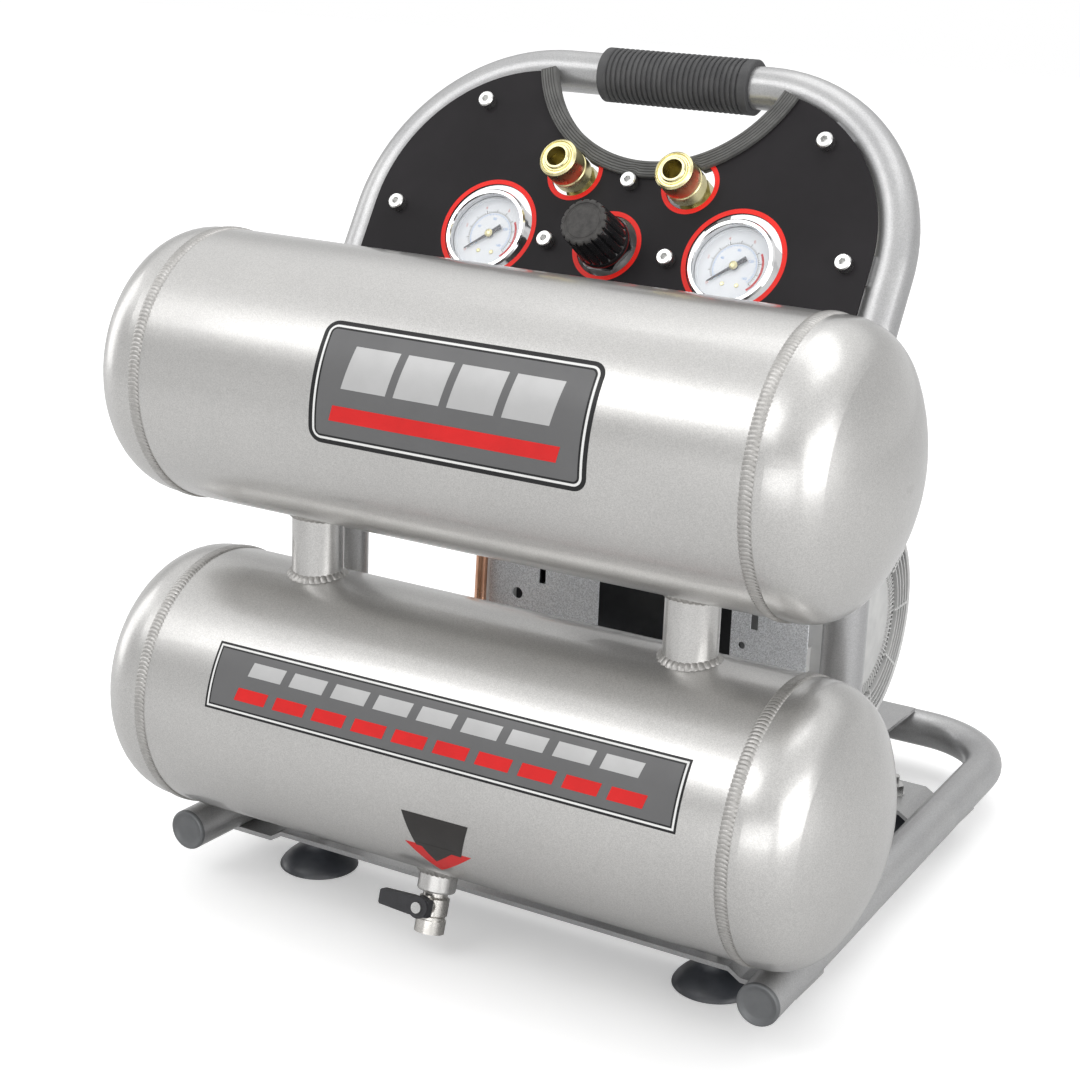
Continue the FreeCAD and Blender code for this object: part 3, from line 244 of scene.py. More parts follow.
# ---- finishes -----------------------------------------------------------------------
@dataclass(frozen=True)
class Finish:
    """One finish: its two tints, its gloss, and the effect that breaks it up."""

    tint: Triple
    shade: Triple
    metallic: float = 0.0
    roughness: float = 0.4
    spread: float = 0.06
    patches: float = 25.0
    effect: Effect = Effect.GRAIN
    scale: float = 1400.0
    depth: float = 0.05
    contrast: float = 0.0
    along: Triple = (0.0, 0.0, 1.0)
    coat: float = 0.0
    coat_roughness: float = 0.08
    alpha: float = 1.0
    specular: float = 0.5

    def material(self, name: str, shelf: EffectShelf) -> bpy.types.Material:
        """Build the material.

        Args:
            name: the material's name.
            shelf: the shared shader groups.

        Returns:
            The material.
        """
        made = bpy.data.materials.new(name)
        made.use_nodes = True
        sheet = NodeSheet(made.node_tree)
        place = sheet.add("ShaderNodeTexCoord").outputs["Object"]
        wander = sheet.add("ShaderNodeGroup", {
            "Vector": place, "Tint": (*self.tint, 1.0), "Shade": (*self.shade, 1.0),
            "Patches": self.patches, "Roughness": self.roughness, "Spread": self.spread},
            node_tree=shelf.wander)
        effect = sheet.add("ShaderNodeGroup", {"Vector": place, "Scale": self.scale, "Along": self.along},
                           node_tree=shelf.groups[self.effect])
        bump = sheet.out("ShaderNodeBump", {"Height": effect.outputs["Height"], "Strength": self.depth,
                                            "Distance": BUMP_DEPTH})
        level = sheet.out("ShaderNodeMapRange", {"Value": effect.outputs["Mask"],
                                                 "To Min": 1.0 - self.contrast,
                                                 "To Max": 1.0 + self.contrast})
        toned = sheet.add("ShaderNodeMix", {0: 1.0, 6: wander.outputs["Color"], 7: level},
                          data_type="RGBA", blend_type="MULTIPLY", clamp_result=False).outputs[2]
        sheet.feed(made.node_tree.nodes["Principled BSDF"], {
            "Base Color": toned, "Roughness": wander.outputs["Roughness"], "Normal": bump,
            "Metallic": self.metallic, "Coat Weight": self.coat, "Coat Roughness": self.coat_roughness,
            "Specular IOR Level": self.specular, "Alpha": self.alpha})
        return made


PANEL_OUT = tuple(-a for a in JOINTS["regulator_knob_turn"]["axis"])
SILVER = {"effect": Effect.FLAKE, "scale": 2400.0, "depth": 0.10, "contrast": 0.12}
FINISHES: dict[str, Finish] = {
    "tank_silver": Finish((0.61, 0.602, 0.588), (0.575, 0.568, 0.556), 0.85, 0.28, 0.05, 12.0,
                          coat=0.6, coat_roughness=0.07, **SILVER),
    "weld_metal": Finish((0.50, 0.49, 0.475), (0.42, 0.41, 0.395), 0.85, 0.38, 0.08, 220.0,
                         coat=0.25, **SILVER),
    "frame_silver": Finish((0.49, 0.49, 0.49), (0.44, 0.44, 0.445), 0.75, 0.34, 0.06, 18.0,
                           coat=0.45, **SILVER),
    "cap_grey": Finish((0.17, 0.175, 0.18), (0.14, 0.145, 0.15), 0.4, 0.34, 0.08, 60.0, depth=0.08),
    "foot_rubber": Finish((0.032, 0.035, 0.042), (0.045, 0.049, 0.058), 0.0, 0.28, 0.12, 90.0,
                          scale=1100.0, depth=0.10, specular=0.7),
    "grip_rubber": Finish((0.075, 0.075, 0.076), (0.055, 0.055, 0.057), 0.0, 0.58, 0.12, 80.0,
                          scale=1800.0, depth=0.18, contrast=0.08),
    "trim_rubber": Finish((0.115, 0.115, 0.11), (0.085, 0.085, 0.082), 0.0, 0.5, 0.1, 90.0,
                          scale=1600.0, depth=0.1, contrast=0.06),
    "zinc_steel": Finish((0.74, 0.74, 0.73), (0.62, 0.62, 0.61), 1.0, 0.22, 0.12, 160.0,
                         effect=Effect.LINES, scale=2600.0, depth=0.06, along=PANEL_OUT),
    "panel_charcoal": Finish((0.019, 0.017, 0.019), (0.015, 0.0135, 0.015), 0.0, 0.44, 0.06, 14.0,
                             scale=3000.0, depth=0.04, specular=0.15),
    "panel_red": Finish((0.86, 0.022, 0.014), (0.78, 0.02, 0.013), 0.0, 0.4, 0.06, 70.0,
                        scale=2600.0, depth=0.03, specular=0.25),
    "bezel_chrome": Finish((0.86, 0.86, 0.86), (0.80, 0.80, 0.81), 1.0, 0.09, 0.06, 90.0,
                           effect=Effect.LINES, scale=2200.0, depth=0.02, along=PANEL_OUT),
    "dial_white": Finish((0.87, 0.90, 0.94), (0.92, 0.94, 0.96), 0.0, 0.38, 0.05, 60.0,
                         scale=3000.0, depth=0.02),
    "lens_glass": Finish((0.95, 0.97, 1.0), (0.9, 0.94, 1.0), 0.0, 0.03, 0.02, 30.0,
                         scale=500.0, depth=0.005, alpha=0.07, coat=0.6, coat_roughness=0.02),
    "needle_black": Finish((0.02, 0.02, 0.026), (0.03, 0.03, 0.036), 0.1, 0.32, 0.06, 120.0, depth=0.03),
    "gloss_black": Finish((0.010, 0.010, 0.011), (0.018, 0.018, 0.019), 0.0, 0.14, 0.1, 120.0,
                          scale=1500.0, depth=0.03, coat=0.6, coat_roughness=0.05),
    "matte_black": Finish((0.025, 0.025, 0.028), (0.036, 0.036, 0.04), 0.0, 0.46, 0.12, 110.0,
                          scale=1300.0, depth=0.16, contrast=0.1),
    "knob_top": Finish((0.060, 0.057, 0.054), (0.040, 0.038, 0.037), 0.0, 0.6, 0.12, 260.0,
                       scale=1700.0, depth=0.25, contrast=0.15),
    "red_plastic": Finish((0.6, 0.03, 0.02), (0.5, 0.025, 0.02), 0.0, 0.3, 0.08, 80.0, depth=0.05),
    "yellow_brass": Finish((0.80, 0.735, 0.43), (0.70, 0.63, 0.34), 1.0, 0.24, 0.12, 130.0,
                           effect=Effect.LINES, scale=2400.0, depth=0.08, along=PANEL_OUT),
    "nickel": Finish((0.72, 0.70, 0.67), (0.64, 0.62, 0.59), 1.0, 0.2, 0.12, 150.0,
                     effect=Effect.LINES, scale=1800.0, depth=0.05),
    "cast_aluminium": Finish((0.50, 0.50, 0.50), (0.42, 0.42, 0.43), 0.9, 0.46, 0.14, 70.0,
                             scale=1100.0, depth=0.3, contrast=0.1),
    "zinc_sheet": Finish((0.88, 0.895, 0.92), (0.80, 0.815, 0.84), 0.2, 0.38, 0.12, 40.0,
                         effect=Effect.SPECKLE, scale=1500.0, depth=0.05, contrast=0.24),
    "motor_grey": Finish((0.045, 0.046, 0.048), (0.03, 0.031, 0.033), 0.25, 0.42, 0.12, 40.0,
                         scale=900.0, depth=0.12, contrast=0.05),
    "bare_steel": Finish((0.42, 0.42, 0.42), (0.34, 0.34, 0.34), 1.0, 0.32, 0.14, 90.0,
                         effect=Effect.LINES, scale=1800.0, depth=0.08, along=(1.0, 0.0, 0.0)),
    "guard_grey": Finish((0.62, 0.62, 0.61), (0.55, 0.55, 0.545), 0.1, 0.42, 0.1, 60.0,
                         scale=1200.0, depth=0.1),
    "fan_black": Finish((0.014, 0.014, 0.016), (0.022, 0.022, 0.025), 0.0, 0.4, 0.1, 80.0, depth=0.1),
    "copper": Finish((0.70, 0.40, 0.27), (0.58, 0.31, 0.20), 1.0, 0.24, 0.14, 60.0,
                     effect=Effect.LINES, scale=1200.0, depth=0.05),
    "ink_black": Finish((0.012, 0.012, 0.013), (0.016, 0.016, 0.017), 0.0, 0.3, 0.05, 50.0, depth=0.02,
                        specular=0.3),
    "ink_white": Finish((0.78, 0.78, 0.77), (0.74, 0.74, 0.73), 0.0, 0.32, 0.05, 50.0, depth=0.02,
                        specular=0.3),
    "ink_grey": Finish((0.135, 0.135, 0.137), (0.125, 0.125, 0.127), 0.0, 0.34, 0.05, 30.0, depth=0.02,
                       specular=0.3),
    "ink_silver": Finish((0.50, 0.50, 0.50), (0.46, 0.46, 0.46), 0.2, 0.34, 0.05, 30.0, depth=0.02,
                         specular=0.3),
    "ink_red": Finish((0.68, 0.018, 0.018), (0.6, 0.016, 0.016), 0.0, 0.32, 0.05, 40.0, depth=0.02,
                      specular=0.3),
    "ink_blue": Finish((0.16, 0.36, 0.72), (0.2, 0.4, 0.74), 0.0, 0.4, 0.05, 60.0, depth=0.02),
    "ink_coral": Finish((0.72, 0.28, 0.24), (0.7, 0.3, 0.26), 0.0, 0.4, 0.05, 60.0, depth=0.02),
    "ink_charcoal": Finish((0.034, 0.031, 0.03), (0.028, 0.026, 0.025), 0.0, 0.34, 0.05, 40.0, depth=0.02,
                           specular=0.3),
}


class PaintShop:
    """Builds each finish's material once and dresses the CAD nodes from the record's slots."""

    def __init__(self) -> None:
        """Build the shared groups."""
        self.shelf = EffectShelf()
        self.made: dict[str, bpy.types.Material] = {}

    def get(self, name: str) -> bpy.types.Material:
        """The material of one finish."""
        if name not in self.made:
            self.made[name] = FINISHES[name].material(name, self.shelf)
        return self.made[name]

    def dress_nodes(self) -> int:
        """Give every CAD node its slot's finish.

        Returns:
            How many nodes were dressed.
        """
        for part in frame["record"]["subparts"]:
            mesh = frame["nodes"][part["node"]].data
            mesh.materials.clear()
            mesh.materials.append(self.get(part["material_slot"]))
        return len(frame["record"]["subparts"])


# ---- meshes -------------------------------------------------------------------------
@dataclass
class Piece:
    """A finished mesh, with what it rides on and what it stands for."""

    name: str
    mesh: bpy.types.Mesh
    finishes: Sequence[str]
    slot: str
    body: str = STATIC
    replaces: Sequence[str] = ()
    place: Matrix | None = None
    bevel: float = 0.0

    def add(self, shop: PaintShop) -> bpy.types.Object:
        """Put the piece in the scene, in the row frame.

        Args:
            shop: where its materials come from.

        Returns:
            The object, riding on its body.
        """
        if self.place is not None:
            self.mesh.transform(self.place)
        self.mesh.name = self.name
        for finish in self.finishes:
            self.mesh.materials.append(shop.get(finish))
        made = bpy.data.objects.new(self.name, self.mesh)
        bpy.context.scene.collection.objects.link(made)
        if self.bevel > 0.0:
            rounding = made.modifiers.new("rounding", "BEVEL")
            rounding.width = self.bevel
            rounding.segments = 2
            rounding.limit_method = "ANGLE"
            rounding.angle_limit = SHARP
        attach(made, self.body)
        if self.replaces:
            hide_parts(*self.replaces)
        return made


def mesh_from(bm: bmesh.types.BMesh, name: str) -> bpy.types.Mesh:
    """Turn a bmesh into a smooth mesh that faces outwards, with its sharp edges kept.

    Args:
        bm: the shape; it is freed.
        name: the mesh's name.

    Returns:
        The mesh.
    """
    bmesh.ops.remove_doubles(bm, verts=bm.verts, dist=MERGED)
    bmesh.ops.recalc_face_normals(bm, faces=bm.faces)
    mesh = bpy.data.meshes.new(name)
    bm.to_mesh(mesh)
    bm.free()
    mesh.shade_smooth()
    mesh.set_sharp_from_angle(angle=SHARP)
    return mesh


def cleaned(mesh: bpy.types.Mesh, name: str) -> bpy.types.Mesh:
    """A copy with its doubles merged and its faces outwards; the first mesh is removed."""
    bm = bmesh.new()
    bm.from_mesh(mesh)
    bpy.data.meshes.remove(mesh)
    return mesh_from(bm, name)


def skin(bm: bmesh.types.BMesh, rings: Sequence[Sequence[bmesh.types.BMVert]], radii: Sequence[float],
         full: bool = True, second: Sequence[int] = ()) -> None:
    """Join neighbouring rows of points with faces.

    Args:
        bm: the shape that is being built.
        rings: equal rows of points, one for each angle.
        radii: the outline's distances from the axis; two in a row on the axis make no face.
        full: whether the last row joins the first.
        second: the steps of the outline that take the second material.
    """
    count = len(radii)
    for ring, following in zip(rings, rings[1:] + (rings[:1] if full else [])):
        for j in range(count):
            after = (j + 1) % count
            if radii[j] == 0.0 and radii[after] == 0.0:
                continue
            face = bm.faces.new((ring[j], ring[after], following[after], following[j]))
            face.material_index = 1 if j in second else 0


def lathe(name: str, profile: Points, segments: int = 96, start: float = 0.0,
          sweep: float = math.tau) -> bpy.types.Mesh:
    """Turn a closed outline about Z, the whole way round or part of it.

    Args:
        name: the mesh's name.
        profile: (radius, height) points in millimetres, in order round the section.
        segments: steps round the axis.
        start: first angle.
        sweep: how far it turns.

    Returns:
        A closed mesh.
    """
    bm = bmesh.new()
    full = sweep >= math.tau - 1e-6
    rings = []
    for i in range(segments if full else segments + 1):
        angle = start + sweep * i / segments
        turn = Vector((math.cos(angle), math.sin(angle), 0.0))
        rings.append([bm.verts.new((turn * r + Z_AXIS * h) * MM) for r, h in profile])
    skin(bm, rings, [r for r, _ in profile], full)
    if not full:
        bm.faces.new(rings[0])
        bm.faces.new(reversed(rings[-1]))
    bmesh.ops.remove_doubles(bm, verts=bm.verts, dist=MERGED)
    bmesh.ops.dissolve_degenerate(bm, edges=bm.edges, dist=MERGED)
    return mesh_from(bm, name)


def joined(name: str, meshes: Iterable[bpy.types.Mesh]) -> bpy.types.Mesh:
    """One mesh from several, each keeping its own material numbers.

    Args:
        name: the new mesh's name.
        meshes: the meshes, each of which is removed.

    Returns:
        The joined mesh.
    """
    bm = bmesh.new()
    for mesh in list(meshes):
        bm.from_mesh(mesh)
        bpy.data.meshes.remove(mesh)
    whole = bpy.data.meshes.new(name)
    bm.to_mesh(whole)
    bm.free()
    whole.shade_smooth()
    whole.set_sharp_from_angle(angle=SHARP)
    return whole


def numbered(mesh: bpy.types.Mesh, index: int) -> bpy.types.Mesh:
    """Give every face of a mesh one material number."""
    mesh.polygons.foreach_set("material_index", [index] * len(mesh.polygons))
    return mesh


def placed(mesh: bpy.types.Mesh, matrix: Matrix) -> bpy.types.Mesh:
    """Move a mesh's points and give it back."""
    mesh.transform(matrix)
    return mesh


# ---- geometry node trees ------------------------------------------------------------
class GeometryTree(GroupSheet):
    """A Geometry Nodes tree with named inputs that ends in Realize Instances and Set Material."""

    def __init__(self, name: str, inputs: Sockets) -> None:
        """Make the empty tree.

        Args:
            name: the tree's name.
            inputs: socket name to its type and default value.
        """
        sockets = {"Geometry": ("Geometry", None), **inputs, "Finish": ("Material", None)}
        super().__init__(name, "GeometryNodeTree", sockets, {"Geometry": "Geometry"})
        self.ids = {item.name: item.identifier for item in self.tree.interface.items_tree
                    if item.in_out == "INPUT"}

    def end(self, geometry: bpy.types.NodeSocket) -> None:
        """Close the tree with the realised geometry in its finish."""
        real = self.out("GeometryNodeRealizeInstances", {0: geometry})
        smooth = self.out("GeometryNodeSetShadeSmooth", {0: real})
        self.give(Geometry=self.out("GeometryNodeSetMaterial",
                                    {0: smooth, "Material": self.enter["Finish"]}))

    def run(self, name: str, host: bpy.types.Mesh | None = None, **values: Any) -> bpy.types.Mesh:
        """Run the tree, on a host mesh where it reads one.

        Args:
            name: the result's name.
            host: the mesh that goes in; it is removed.
            values: input name, with _ for a space, to its value.

        Returns:
            A plain mesh.
        """
        host = host or bpy.data.meshes.new("seed")
        carrier = bpy.data.objects.new(name, host)
        bpy.context.scene.collection.objects.link(carrier)
        modifier = carrier.modifiers.new("nodes", "NODES")
        modifier.node_group = self.tree
        for label, value in values.items():
            modifier[self.ids[label.replace("_", " ")]] = value
        evaluated = carrier.evaluated_get(bpy.context.evaluated_depsgraph_get())
        result = bpy.data.meshes.new_from_object(evaluated)
        bpy.data.objects.remove(carrier)
        bpy.data.meshes.remove(host)
        return cleaned(result, name)


def weld_tree() -> GeometryTree:
    """A low bead along a path, with overlapping ripples on it."""
    tree = GeometryTree("weld_ripples", {"Pitch": ("Float", 3.2 * MM), "Width": ("Float", 9.0 * MM),
                                         "Height": ("Float", 1.5 * MM), "Lean": ("Float", 0.3)})
    path = tree.out("GeometryNodeMeshToCurve", {0: tree.enter["Geometry"]})
    spots = tree.out("GeometryNodeResampleCurve", {0: path, "Length": tree.enter["Pitch"]}, mode="LENGTH")
    ball = tree.out("GeometryNodeMeshUVSphere", {"Segments": 10, "Rings": 6, "Radius": 1.0})
    tangent = tree.out("GeometryNodeInputTangent")
    out = tree.out("GeometryNodeInputNamedAttribute", {"Name": "out"}, data_type="FLOAT_VECTOR")
    first = tree.out("FunctionNodeAlignRotationToVector", {"Vector": tangent}, axis="X")
    turn = tree.out("FunctionNodeAlignRotationToVector", {"Rotation": first, "Vector": out},
                    axis="Z", pivot_axis="X")
    lean = tree.out("FunctionNodeAxisAngleToRotation",
                    {"Axis": (0.0, 1.0, 0.0), "Angle": tree.enter["Lean"]})
    tilted = tree.out("FunctionNodeRotateRotation", {0: turn, 1: lean}, rotation_space="LOCAL")
    half = tree.maths("MULTIPLY", tree.enter["Width"], 0.5)
    size = tree.out("ShaderNodeCombineXYZ", {0: tree.enter["Pitch"], 1: half, 2: tree.enter["Height"]})
    tree.end(tree.out("GeometryNodeInstanceOnPoints",
                      {"Points": spots, "Instance": ball, "Rotation": tilted, "Scale": size}))
    return tree


def rib_tree() -> GeometryTree:
    """Rounded rings along a straight path."""
    tree = GeometryTree("grip_ribs", {"Count": ("Int", 25), "Radius": ("Float", 15.6 * MM),
                                      "Rib": ("Float", 1.4 * MM)})
    path = tree.out("GeometryNodeMeshToCurve", {0: tree.enter["Geometry"]})
    spots = tree.out("GeometryNodeResampleCurve", {0: path, "Count": tree.enter["Count"]})
    circle, section = (tree.out("GeometryNodeCurvePrimitiveCircle",
                                {"Resolution": steps, "Radius": tree.enter[label]})
                       for steps, label in ((72, "Radius"), (12, "Rib")))
    loop = tree.out("GeometryNodeCurveToMesh", {0: circle, 1: section})
    tangent = tree.out("GeometryNodeInputTangent")
    turn = tree.out("FunctionNodeAlignRotationToVector", {"Vector": tangent}, axis="Z")
    tree.end(tree.out("GeometryNodeInstanceOnPoints",
                      {"Points": spots, "Instance": loop, "Rotation": turn}))
    return tree


def spoke_tree() -> GeometryTree:
    """Radial bars spread evenly over an arc about Z."""
    tree = GeometryTree("radial_bars", {"Radius": ("Float", 20.0 * MM), "Start": ("Float", 0.0),
                                        "Sweep": ("Float", 6.0), "Count": ("Int", 11),
                                        "Bar": ("Vector", (2.0 * MM, 0.3 * MM, 0.1 * MM))})
    arc = tree.out("GeometryNodeCurveArc", {"Resolution": tree.enter["Count"],
                                            "Radius": tree.enter["Radius"],
                                            "Start Angle": tree.enter["Start"],
                                            "Sweep Angle": tree.enter["Sweep"]})
    bar = tree.out("GeometryNodeMeshCube", {"Size": tree.enter["Bar"]})
    place = tree.out("GeometryNodeInputPosition")
    turn = tree.out("FunctionNodeAlignRotationToVector", {"Vector": place}, axis="X", pivot_axis="Z")
    tree.end(tree.out("GeometryNodeInstanceOnPoints",
                      {"Points": arc, "Instance": bar, "Rotation": turn}))
    return tree


def path_mesh(points: Sequence[Vector], outs: Sequence[Vector] | None = None,
              closed: bool = True) -> bpy.types.Mesh:
    """A mesh of edges along a path, with the outward direction at each point.

    Args:
        points: the path, in metres.
        outs: the direction away from the metal at each point.
        closed: whether the last point joins the first.

    Returns:
        The mesh that a Geometry Nodes tree turns into a curve.
    """
    count = len(points)
    edges = [(i, (i + 1) % count) for i in range(count if closed else count - 1)]
    mesh = bpy.data.meshes.new("path")
    mesh.from_pydata([tuple(p) for p in points], edges, [])
    if outs is not None:
        attribute = mesh.attributes.new("out", "FLOAT_VECTOR", "POINT")
        attribute.data.foreach_set("vector", [c for out in outs for c in out])
    return mesh


# ---- tanks --------------------------------------------------------------------------
@dataclass(frozen=True)
class Cylinder:
    """A horizontal tank: the depth and height of its axis, its radius and half its shell's length."""

    y: float
    z: float
    r: float
    half: float

    @classmethod
    def of_node(cls, node: str) -> "Cylinder":
        """Read a tank shell's own box."""
        low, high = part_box(node)
        return cls((low.y + high.y) / 2, (low.z + high.z) / 2, (high.z - low.z) / 2, (high.x - low.x) / 2)

    def point(self, x: float, angle: float, lift: float = 0.0) -> Vector:
        """A point on the front of the shell, its angle measured upwards from the front."""
        r = self.r + lift
        return Vector((x, self.y - r * math.cos(angle), self.z + r * math.sin(angle)))


@dataclass
class WeldBeads:
    """Rippled beads at the tank ends, round the joining tubes and round the drain bung.

    A look is the ripples' pitch, width and height in metres, and how far they lean in radians.
    """

    upper: Cylinder
    lower: Cylinder
    ring_look: Sequence[float] = (2.5 * MM, 8.2 * MM, 0.85 * MM, 0.3)
    foot_look: Sequence[float] = (3.5 * MM, 11.0 * MM, 2.1 * MM, 0.45)
    link_r: float = 15.5 * MM
    bung_r: float = 11.5 * MM
    steps: int = 180

    def ring(self, tank: Cylinder, side: int) -> bpy.types.Mesh:
        """The path of the bead between a shell and its end."""
        outs = [Vector((0.0, math.cos(i * math.tau / self.steps), math.sin(i * math.tau / self.steps)))
                for i in range(self.steps)]
        centre = Vector((side * tank.half, tank.y, tank.z))
        return path_mesh([centre + out * tank.r for out in outs], outs)

    def saddle(self, tank: Cylinder, x: float, along: Vector, across: Vector, r: float) -> bpy.types.Mesh:
        """The path where a round tube leaves a tank.

        Args:
            tank: the tank.
            x: where the tube's axis stands.
            along: direction of the tube, away from the tank.
            across: direction square to the tube and to X.
            r: the tube's radius.

        Returns:
            The path, with outward directions halfway between the two surfaces.
        """
        points, outs = [], []
        centre = Vector((x, tank.y, tank.z))
        for i in range(self.steps):
            turn = i * math.tau / self.steps
            radial = X_AXIS * math.cos(turn) + across * math.sin(turn)
            reach = math.sqrt(tank.r ** 2 - (r * math.sin(turn)) ** 2)
            point = centre + radial * r + along * reach
            normal = (point - Vector((point.x, tank.y, tank.z))).normalized()
            points.append(point)
            outs.append((normal + radial).normalized())
        return path_mesh(points, outs)

    def add(self, shop: PaintShop) -> list[bpy.types.Object]:
        """Build every bead."""
        tree = weld_tree()
        labels = ("Pitch", "Width", "Height", "Lean")
        around, foot = ({**dict(zip(labels, look)), "Finish": shop.get("weld_metal")}
                        for look in (self.ring_look, self.foot_look))
        rings = [tree.run("ring", self.ring(tank, side), **around)
                 for tank in (self.upper, self.lower) for side in (-1, 1)]
        low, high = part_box("tank_links")
        drain = JOINTS["drain_turn"]
        down = Vector(MOUNTS["drain_outlet"]["axis"])
        paths = [self.saddle(tank, x, Z_AXIS * up, Y_AXIS, self.link_r)
                 for tank, up in ((self.lower, 1.0), (self.upper, -1.0))
                 for x in (low.x + self.link_r, high.x - self.link_r)]
        paths.append(self.saddle(self.lower, drain["pos_m"][0], down, Vector(drain["axis"]), self.bung_r))
        feet = [tree.run("foot", path, **foot) for path in paths]
        return [Piece("tank_end_welds", joined("rings", rings), ["weld_metal"], "weld_metal",
                      replaces=["tank_weld_beads"]).add(shop),
                Piece("fitting_welds", joined("feet", feet), ["weld_metal"], "weld_metal").add(shop)]


def rounded_box(x: Span, a: Span, radius: float) -> list[Span]:
    """Outline of a rounded rectangle, or a square-cornered one when radius is 0."""
    if radius <= 0.0:
        return [(x[0], a[0]), (x[1], a[0]), (x[1], a[1]), (x[0], a[1])]
    outline = []
    steps = 8
    for corner, (cx, ca) in enumerate(((x[1] - radius, a[1] - radius), (x[0] + radius, a[1] - radius),
                                       (x[0] + radius, a[0] + radius), (x[1] - radius, a[0] + radius))):
        for i in range(steps + 1):
            turn = math.pi / 2 * (corner + i / steps)
            outline.append((cx + radius * math.cos(turn), ca + radius * math.sin(turn)))
    return outline


@dataclass
class PrintedLabel:
    """A label wrapped round a tank: layers of ink, each a thin sheet on the one below."""

    name: str
    tank: Cylinder
    layers: Sequence[tuple[str, Sequence[Points]]]
    step: float = 1.6
    film: float = 0.06 * MM

    def sheet(self, outline: Points, level: int) -> bpy.types.Mesh:
        """One flat convex outline, cut in strips and bent round the tank.

        Args:
            outline: (x, distance up the shell from the front) in millimetres.
            level: how many films lie under it.

        Returns:
            A closed thin mesh.
        """
        bm = bmesh.new()
        bm.faces.new([bm.verts.new((x, a, 0.0)) for x, a in outline])
        low = min(a for _, a in outline)
        high = max(a for _, a in outline)
        cut = low + self.step
        while cut < high:
            bmesh.ops.bisect_plane(bm, geom=bm.verts[:] + bm.edges[:] + bm.faces[:], dist=1e-5,
                                   plane_co=(0.0, cut, 0.0), plane_no=(0.0, 1.0, 0.0))
            cut += self.step
        grown = bmesh.ops.extrude_face_region(bm, geom=bm.faces[:])
        for item in grown["geom"]:
            if isinstance(item, bmesh.types.BMVert):
                item.co.z = 1.0
        for vert in bm.verts:
            lift = (level + vert.co.z) * self.film
            vert.co = self.tank.point(vert.co.x * MM, vert.co.y * MM / self.tank.r, lift)
        return mesh_from(bm, self.name)

    def add(self, shop: PaintShop) -> bpy.types.Object:
        """Build the label."""
        inks = []
        sheets = []
        for level, (ink, outlines) in enumerate(self.layers):
            if ink not in inks:
                inks.append(ink)
            for outline in outlines:
                sheets.append(numbered(self.sheet(outline, level), inks.index(ink)))
        return Piece(self.name, joined(self.name, sheets), inks, "tank_silver").add(shop)


@dataclass(frozen=True)
class BarRow:
    """A row of equal bars that lean to the right.

    In millimetres: its two ends, its lower and upper edge, the gap between bars and their lean.
    """

    ink: str
    x: Span
    a: Span
    count: int
    gap: float
    slant: float

    def outlines(self) -> list[Points]:
        """The bars, from left to right."""
        width = (self.x[1] - self.x[0] - self.gap * (self.count - 1)) / self.count
        bars = []
        for i in range(self.count):
            left = self.x[0] + i * (width + self.gap)
            right = left + width
            bars.append([(left, self.a[0]), (right, self.a[0]),
                         (right + self.slant, self.a[1]), (left + self.slant, self.a[1])])
        return bars


@dataclass(frozen=True)
class BorderedField:
    """A grey field inside black, white and black borders, with rows of bars on it.

    Its corner radius is that of the outermost border, and insets says how far each layer is set in.
    """

    x: Span
    a: Span
    radius: float
    insets: Sequence[float]
    rows: Sequence[BarRow]
    inks: Sequence[str] = ("ink_black", "ink_white", "ink_black", "ink_grey")

    def layers(self) -> list[tuple[str, list[Points]]]:
        """The borders, the field and the rows, from the tank outwards."""
        layers = []
        for ink, d in zip(self.inks, self.insets):
            outline = rounded_box((self.x[0] + d, self.x[1] - d), (self.a[0] + d, self.a[1] - d),
                                  max(0.0, self.radius - d))
            layers.append((ink, [outline]))
        return layers + [(row.ink, row.outlines()) for row in self.rows]


@dataclass
class TankLabels:
    """The three blank labels: a bordered plate, a bordered strip and an arrow at the drain.

    The arrow's outlines give X in millimetres and the angle up the shell in degrees.
    """

    upper: Cylinder
    lower: Cylinder
    plate: BorderedField = BorderedField(
        (-69.5, 104.0), (-11.5, 57.5), 8.0, (0.0, 2.6, 4.0, 5.2),
        (BarRow("ink_silver", (-50.0, 80.0), (20.0, 44.0), 4, 5.0, 4.0),
         BarRow("ink_red", (-56.0, 86.0), (2.0, 10.5), 1, 0.0, 2.0)))
    strip: BorderedField = BorderedField(
        (-144.0, 165.0), (14.0, 54.0), 0.0, (0.0, 1.4, 2.6, 3.6),
        (BarRow("ink_silver", (-118.0, 138.0), (37.5, 46.0), 9, 6.0, 2.0),
         BarRow("ink_red", (-124.0, 144.0), (22.5, 30.0), 10, 6.0, 2.0)))
    arrow_head: Points = ((-7.8, -28.2), (36.7, -27.5), (7.3, -46.7))
    arrow_tag: Points = ((-5.5, -11.3), (38.6, -11.0), (29.6, -29.0), (-0.5, -29.0))
    arrow_inside: Points = ((2.0, -26.8), (27.0, -26.4), (9.0, -38.0))

    def arrow(self) -> list[tuple[str, list[Points]]]:
        """The layers of the arrow that points down at the drain."""
        per_degree = self.lower.r / MM * math.pi / 180.0
        return [(ink, [[(x, a * per_degree) for x, a in outline]])
                for ink, outline in (("ink_red", self.arrow_head), ("ink_charcoal", self.arrow_tag),
                                     ("ink_charcoal", self.arrow_inside))]

    def add(self, shop: PaintShop) -> list[bpy.types.Object]:
        """Build the three labels."""
        return [PrintedLabel(name, tank, layers).add(shop) for name, tank, layers in (
            ("upper_tank_label", self.upper, self.plate.layers()),
            ("lower_tank_label", self.lower, self.strip.layers()),
            ("drain_arrow_label", self.lower, self.arrow()))]


